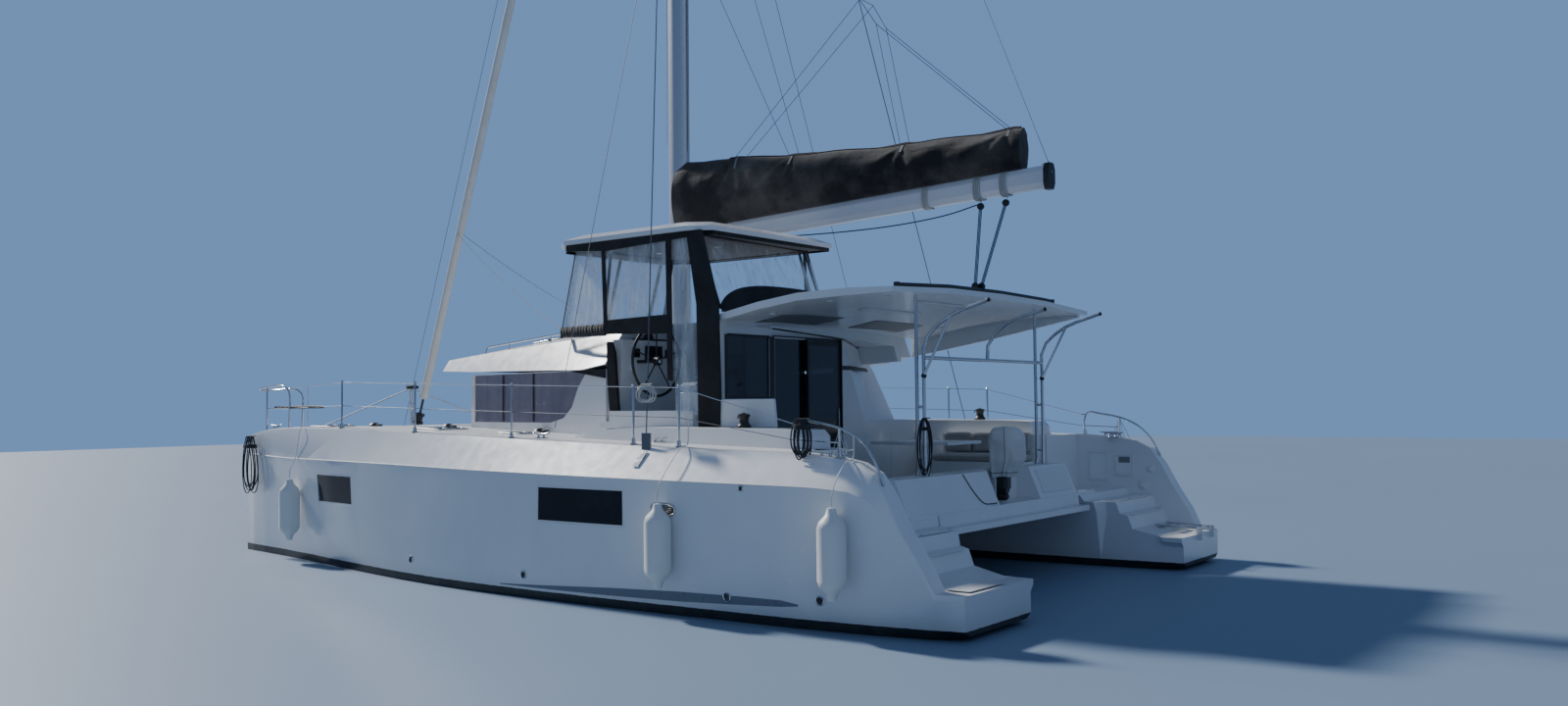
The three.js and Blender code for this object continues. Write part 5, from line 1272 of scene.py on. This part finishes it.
# Sterns.
STEP_PADS = ((-6.34, -5.84, 2.60, 3.30), (-5.735, -5.62, 2.25, 3.30), (-5.545, -5.26, 2.20, 3.30))
LOCKERS = ((-5.30, -5.02, 1.10, 1.40), (-4.93, -4.63, 1.02, 1.44))  # x from, x to, z from, z to
LOCKER_EDGE = 0.028
WING_CAPS = ((-5.535, 1.20, 0.058), (-5.42, 0.985, 0.070))  # x, z, radius
CAP_SHAPE = (  # share of the radius, height
    (1, 0), (1, 0.006), (0.86, 0.014), (0.5, 0.017), (0.46, 0.030), (0.2, 0.034),
)
STERN_CLEATS = ((-4.91, 3.50), (-2.33, 3.06))
STERN_HORN = ((-0.13, 0.055), (-0.06, 0.050), (0.06, 0.050), (0.13, 0.055))
STERN_FOOT = ((0.020, 0), (0.014, 0.012), (0.013, 0.040), (0.016, 0.050))
WALL_CABLE = (  # y, z down the wall behind the cockpit
    (0.965, 1.335), (0.938, 1.279), (0.895, 1.190), (0.844, 1.111), (0.784, 1.042), (0.707, 0.998),
    (0.594, 0.988), (0.430, 0.988), (0.300, 0.986),
)


def steps_trim():
    """Non-slip pads on the platform and steps of both sterns."""
    pads, well = shapes(2)
    for s in (1, -1):
        for x0, x1, y0, y1 in STEP_PADS:
            outline = [(x0 + 0.02, y0), (x1 - 0.02, y0), (x1, y0 + 0.02), (x1, y1 - 0.02), (x1 - 0.02, y1),
                       (x0 + 0.02, y1), (x0, y1 - 0.02), (x0, y0 + 0.02)]
            z = top_of(HULL[s], (x0 + x1) / 2, s * (y0 + y1) / 2)
            if s < 0 and x0 < -6:
                outline = [(x, min(y, 2.55) if y > 2.55 else y - 0.38) for x, y in outline]
            pads.loft([[(x, s * y, z + lift) for x, y in outline] for lift in (-0.0005, 0.0015)])
        x, y = -5.50, s * 2.72
        well.lathe(((0.020, 0), (0.024, 0.004), (0.014, 0.008)), (x, y, top_of(HULL[s], x, y)), sides=16)
    pads.done("step_pads", "white_plastic")
    well.done("step_drains", "black")


def wing_lockers():
    """Framed lockers, caps and the shower on the inner sides of the sterns' wings."""
    frames, doors, caps, dark = shapes(4)
    for s in (1, -1):
        def wall(x, z, off=-0.001):
            return (x, strike(HULL[s], (x, s * 2.9, z), (0, s, 0)).y - s * off, z)

        def patch(shape, x0, x1, z0, z1, thick):
            shape.slab([[wall(x, z) for x in (x0, x1)] for z in (z0, z1)], (0, -s * thick, 0))
        for x0, x1, z0, z1 in LOCKERS:
            for strip in rim_strips(x0, x1, z0, z1, LOCKER_EDGE):
                patch(frames, *strip, 0.016)
            patch(doors, x0 + LOCKER_EDGE, x1 - LOCKER_EDGE, z0 + LOCKER_EDGE, z1 - LOCKER_EDGE, 0.009)
        patch(dark, -5.24, -5.08, 1.28, 1.36, 0.0135)
        for x, z, r in WING_CAPS:
            caps.lathe([(r * share, h) for share, h in CAP_SHAPE], wall(x, z, 0), (0, -s, 0), 28)
    frames.done("wing_locker_frames", "white_plastic", bevel=0.004)
    doors.done("wing_locker_doors", "smooth", bevel=0.003)
    caps.done("wing_caps", "white_plastic")
    dark.done("wing_shower_box", "grey", "black_plastic", bevel=0.002)


def aft_wall_trim():
    """The blank board on the wall behind the cockpit, the wall's foot and the cable clipped along it."""
    board, foot, cable = shapes(3)

    def face(y, z, off):
        return (strike("cockpit_aft", (-6.0, y, z), (1, 0, 0)).x - off, y, z)
    board.slab([[face(y, z, -0.001) for y in (-1.72, -0.86)] for z in (1.02, 1.30)], (-0.012, 0, 0.004))
    board.done("stern_board", "white_plastic", bevel=0.004)
    cable.tube(curve([face(y, z, 0.005) for y, z in WALL_CABLE], 4), 0.006, 8)
    cable.done("aft_wall_cable", "black")
    foot.box((-5.166, 1.80, 0.925), (-5.06, 2.375, 0.972))
    foot.mirrored().done("aft_wall_foot", "smooth", bevel=0.004)


def stern_cleats():
    shape, lash = shapes(2)
    for x, y in STERN_CLEATS:
        z = deck_z(x) - 0.001 if y == 3.50 else top_of("hull_port", x, y)
        for dx in (-0.05, 0.05):
            shape.lathe(STERN_FOOT, (x + dx, y, z), sides=14)
        shape.tube([(x + dx, y, z + up) for dx, up in STERN_HORN], [0.008, 0.013, 0.013, 0.008], 12)
    shape.mirrored().done("stern_cleats", "steel")
    for s in (1, -1):
        for x in (-4.97, -5.03, -5.14, -5.22):
            lash.tube([(-5.07, s * 3.50, 1.90), (x, s * 3.50, deck_z(x) + 0.002)], 0.004, 6)
    lash.done("stern_rail_lashings", "pale_rope")


# Soft goods.
SETTEE_BACKS = ((-4.29, -3.87), (-3.84, -3.42), (-3.39, -2.97))
HELM_SEAT = ((-2.235, 1.41, 2.28), (-1.885, 2.23, 2.42))
NET = ((3.985, 0.14), (3.985, 2.225), (5.85, 2.575), (5.885, 0.14))
NET_Z = 1.5465
HOOD_ROWS = (  # z, aft x, front x, starboard y, port y
    (1.262, -5.112, -4.872, -0.246, 0.066), (1.34, -5.150, -4.860, -0.284, 0.104),
    (1.45, -5.215, -4.853, -0.316, 0.136), (1.58, -5.222, -4.852, -0.325, 0.145),
    (1.70, -5.218, -4.853, -0.324, 0.144), (1.775, -5.198, -4.862, -0.306, 0.126),
    (1.822, -5.160, -4.885, -0.272, 0.092), (1.845, -5.105, -4.920, -0.215, 0.035),
    (1.850, -5.060, -4.955, -0.13, -0.05),
)
HOOD_POINTS = 72
LEG = ((0.0, -0.05), (0.03, -0.09), (0.13, -0.09), (0.15, -0.05), (0.15, 0.05), (0.13, 0.09), (0.03, 0.09),
       (0.0, 0.05))
LEG_HUB = ((0.030, 0), (0.048, 0.03), (0.050, 0.11), (0.030, 0.15))
LEG_FOOT = (  # aft x, front x, then y at the aft starboard, front starboard, front port and aft port corners
    (0.10, -5.03, -4.92, -0.13, -0.12, -0.06, -0.05), (0.17, -5.04, -4.91, -0.16, -0.15, -0.03, -0.02),
)


def padded_box(name, low, high, look, crown=0.02, seams=(), cuts=15):
    """A cushion wrapped over a box, with drawn-in sides, a crowned top and pressed-in seams."""
    low, high = Vector(low), Vector(high)
    half, centre = (high - low) / 2, (low + high) / 2
    work = bmesh.new()
    bmesh.ops.create_cube(work, size=2)
    bmesh.ops.subdivide_edges(work, edges=work.edges[:], cuts=cuts, use_grid_fill=True)
    soft = min(half) * 0.85
    for v in work.verts:
        u = v.co.copy()
        p = Vector([c * h for c, h in zip(u, half)])
        inner = Vector([max(soft - h, min(h - soft, c)) for c, h in zip(p, half)])
        away = p - inner
        if away.length > 1e-9:
            p = inner + away.normalized() * soft * min(1.0, away.length / soft)
        upper = max(u.z, 0.0)
        pull = 0.010 * (1 - u.z ** 2)
        p.x -= math.copysign(pull, u.x) * abs(u.x) ** 6 * (1 - u.y ** 4)
        p.y -= math.copysign(pull, u.y) * abs(u.y) ** 6 * (1 - u.x ** 4)
        press = sum(math.exp(-((p.x + centre.x - s) / 0.016) ** 2) for s in seams)
        p.z -= upper * (crown * (1 - (1 - u.x ** 4) * (1 - u.y ** 4)) + 0.012 * press)
        p.z -= upper * 0.002 * (1 + math.sin(9 * p.x + 7 * p.y))
        v.co = p + centre
    mesh = bpy.data.meshes.new(name)
    work.to_mesh(mesh)
    work.free()
    thing = bpy.data.objects.new(name, mesh)
    SCENE.collection.objects.link(thing)
    mesh.materials.append(LOOK[look])
    mesh.shade_smooth()
    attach(thing, HULK)
    return thing


def cockpit_cushions():
    seat = padded_box("settee_cushion", (-4.30, -2.325, 1.331), (-2.95, -1.865, 1.443), "seat",
                      seams=(-3.85, -3.40))
    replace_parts(seat, "cockpit_cushion")
    for k, (x0, x1) in enumerate(SETTEE_BACKS):
        padded_box("settee_back_%d" % k, (x0, -2.326, 1.452), (x1, -2.235, 1.725), "seat",
                   crown=0.01, cuts=11)


def helm_cushions():
    low, high = HELM_SEAT
    x, y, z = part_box("helm_seat")[0]
    shell = Shape()
    shell.box((x + 0.004, y + 0.012, z + 0.002), (high[0] - 0.015, high[1] - 0.005, 2.296))
    shell.box((x + 0.004, low[1] + 0.02, 2.29), (x + 0.022, high[1] - 0.01, 2.74))
    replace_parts(shell.done("helm_seat_shell", "smooth", bevel=0.008), "helm_seat")
    for k, (y0, y1) in enumerate(((low[1], 1.815), (1.825, high[1]))):
        padded_box("helm_seat_pad_%d" % k, (low[0] + 0.045, y0, 2.297), (high[0], y1, 2.420),
                   "blue_seat")
        padded_box("helm_back_pad_%d" % k, (-2.253, y0, 2.43), (-2.172, y1, 2.755), "blue_seat",
                   crown=0.008)


def trampolines():
    """Two nets stretched between the hulls, the beam and the longeron, laced along their edges."""
    a, b, c, d = [Vector((x, y, 0)) for x, y in NET]
    for side, s in (("port", 1), ("starboard", -1)):
        net, hem, lace = shapes(3)

        def spot(u, v):
            p = a.lerp(b, v).lerp(d.lerp(c, v), u)
            dip = 0.016 * (1 - (2 * u - 1) ** 4) * (1 - (2 * v - 1) ** 4)
            return Vector((p.x, s * p.y, NET_Z - dip))
        net.slab([[spot(u, v) for v in spread(0, 1, 22)] for u in spread(0, 1, 28)], (0, 0, 0.003))
        cloth_piece = net.done("net_%s" % side, "net")
        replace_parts(cloth_piece, "trampoline_%s" % side)
        border = [spot(0, j / 10) for j in range(10)] + [spot(i / 14, 1) for i in range(14)]
        border += [spot(1, 1 - j / 10) for j in range(10)] + [spot(1 - i / 14, 0) for i in range(14)]
        hem.tube([p + UP * 0.002 for p in border], 0.018, 8, closed=True, flat=0.35)
        hem_piece = hem.done("net_hem_%s" % side, "black_cloth", "net")
        middle = sum(border, Vector()) / len(border)
        for p, q in zip(border, border[1:] + border[:1]):
            along = (q - p).normalized()
            for t in (0.2, 0.7):
                m = p.lerp(q, t)
                out = m - middle
                out = (out - along * out.dot(along)).normalized()
                lace.tube([m - out * 0.012 + UP * 0.006, m + out * 0.014], 0.0035, 6)
        lace_piece = lace.done("net_lacing_%s" % side, "pale_rope", "net")


def hood_ring(row, inset):
    """One level of the outboard's hood: a rounded box, looser and more folded towards its foot."""
    z, x0, x1, y0, y1 = row
    cx, cy, hx, hy = (x0 + x1) / 2, (y0 + y1) / 2, (x1 - x0) / 2 - inset, (y1 - y0) / 2 - inset
    loose = max(0.0, (1.72 - z) / 0.46)
    ring = []
    for t in angles(HOOD_POINTS):
        fold = 0.012 * loose * (math.sin(9 * t + 3 * z) + 0.6 * math.sin(14 * t - 5 * z)) - 0.014 * loose
        fold += 0.004 * math.sin(5 * t + 22 * z)
        ring.append((cx + signed_power(math.cos(t), 0.62) * (hx + fold),
                     cy + signed_power(math.sin(t), 0.62) * (hy + fold),
                     z + 0.006 * math.sin(4 * t) * loose))
    return ring


def outboard_hood():
    """The cloth cover of the stowed outboard, open at the foot, over its leg and bracket."""
    rows = []
    for a, b in zip(HOOD_ROWS, HOOD_ROWS[1:]):
        steps = 5 if b[0] - a[0] > 0.05 else 2
        rows += [[lerp(v, w, k / steps) for v, w in zip(a, b)] for k in range(steps)]
    rows.append(HOOD_ROWS[-1])
    outer = [hood_ring(row, 0.0) for row in rows]
    inner = [hood_ring((row[0] - 0.002, *row[1:]), 0.002) for row in rows]
    shape, seam, leg, steel = shapes(4)
    shape.loft(inner[::-1] + outer)
    hood = shape.done("outboard_hood", "sail", smooth=70)
    for part in (0.30, 0.80):
        seam.tube([ring[int(part * HOOD_POINTS)] for ring in outer], 0.0045, 6)
    seam.tube(outer[3], 0.006, 6, closed=True)
    seam = seam.done("outboard_hood_seams", "grey", "sail_white")
    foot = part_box("outboard_cover")[0][2]
    leg.loft([[(-5.055 + a, -0.09 + b, z) for a, b in LEG] for z in (foot + 0.16, 1.36)])
    leg.loft([[(x0, y0, foot + z), (x1, y1, foot + z), (x1, y2, foot + z), (x0, y3, foot + z)]
              for z, x0, x1, y0, y1, y2, y3 in LEG_FOOT])
    leg.lathe(LEG_HUB, (-5.04, -0.09, foot + 0.062), (1, 0, 0))
    leg = leg.done("outboard_leg", "black", bevel=0.006)
    steel.box((-4.935, -0.19, foot + 0.001), (-4.905, 0.01, foot + 0.30))
    for y in (-0.15, -0.03):
        steel.tube([(-4.92, y, foot + 0.27), (-4.915, y, 1.30)], 0.014, 10)
    steel.done("outboard_bracket", "steel", bevel=0.003)
    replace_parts(hood, "outboard_cover")


# Stowed lines. Each is one length of rope, gathered into long hanging turns.
LEAD, TURN_STEPS = 0.05, 44


def stow_line(name, top, wide, turns, length, diameter, across=(1, 0, 0), look="dark_rope", lean=0.0):
    """A rope of a given length that starts at top and falls into turns, side by side towards port."""
    top, across, depth = Vector(top), Vector(across).normalized(), Vector((0, 1, 0))
    pitch = diameter * 1.30
    start = top + across * LEAD

    def route(tall):
        neck = max(0.50, min(1.0, math.sqrt(1.5 * diameter * tall / 2) / (wide / 2)))
        points = [top + across * LEAD * t for t in (0.0, 0.33, 0.66)]
        for k in range(turns * TURN_STEPS + 1):
            a = 2 * math.pi * k / TURN_STEPS
            fallen = (1 - math.cos(a)) / 2
            drift = 1 + 0.16 * math.sin(2.1 * a / math.pi + 0.6)
            aside = wide / 2 * (neck + (1 - neck) * fallen) * drift * math.sin(a) + lean * fallen
            drop = tall * (1 + 0.07 * math.sin(1.3 * a / math.pi)) * fallen
            points.append(start + across * aside + depth * pitch * k / TURN_STEPS - UP * drop)
        return points
    low, high = 0.05, 3.0
    for _ in range(40):
        tall = (low + high) / 2
        points = route(tall)
        short = sum((q - p).length for p, q in zip(points, points[1:])) < length
        low, high = (tall, high) if short else (low, tall)
    path = [tuple(p) for p in route(tall)]
    shape, tie = shapes(2)
    shape.tube(path, diameter / 2, 8)
    rope_piece = shape.done(name, look, "sail_white")
    middle = start + depth * (pitch * turns / 2) + across * lean * 0.17 - UP * tall * 0.17
    reach, girth = pitch * turns / 2 + diameter * 1.1, wide * 0.30 + diameter
    for k in range(3):
        level = middle - UP * k * diameter * 1.05
        tie.tube([level + depth * reach * math.sin(a) + across * girth * math.cos(a) for a in angles(20)],
                 diameter / 2, 8, closed=True)
    tie_piece = tie.done(name + "_tie", look, "sail_white")


def stowed_lines():
    stow_line("bow_line", (5.86, 3.055, 1.74), 0.48, 6, 11.5, 0.016, across=(1, -0.14, 0), lean=-0.03)
    stow_line("stern_line", (-4.74, 3.524, 2.00), 0.17, 7, 6.0, 0.016)
    stow_line("guard_line", (-2.65, 3.51, 2.375), 0.30, 6, 4.0, 0.012, look="pale_rope")
    stow_line("reef_hank", (-4.935, 1.542, 1.975), 0.15, 5, 6.5, 0.012)


add_camera()
for look, names in NODE_LOOKS.items():
    for name in names:
        NODES[name].data.materials.clear()
        NODES[name].data.materials.append(LOOK[look])
        soften(name, ROUND_LIMIT if look in ROUND_LOOKS else FLAT_LIMIT)
for make in (
        add_stage, hull_windows, hull_fittings, rubbing_line, deck_hatches, cleats, deck_vents,
        anchor_gear, bow_details, roof_details, saloon_trim, helm_cloth, ribbed_roll, aft_window,
        helm_roof_trim, helm_controls, wheel_trim, sail_cover, boom_details, standing_rigging,
        lazy_jacks, mainsheet, jib_details, lower_wires, boot_stripe, winches, bulkhead_trim, door_trim,
        hardtop_trim, davit_fittings, steps_trim, wing_lockers, aft_wall_trim, stern_cleats,
        chainplates, cockpit_cushions, helm_cushions, trampolines, outboard_hood, stowed_lines):
    make()
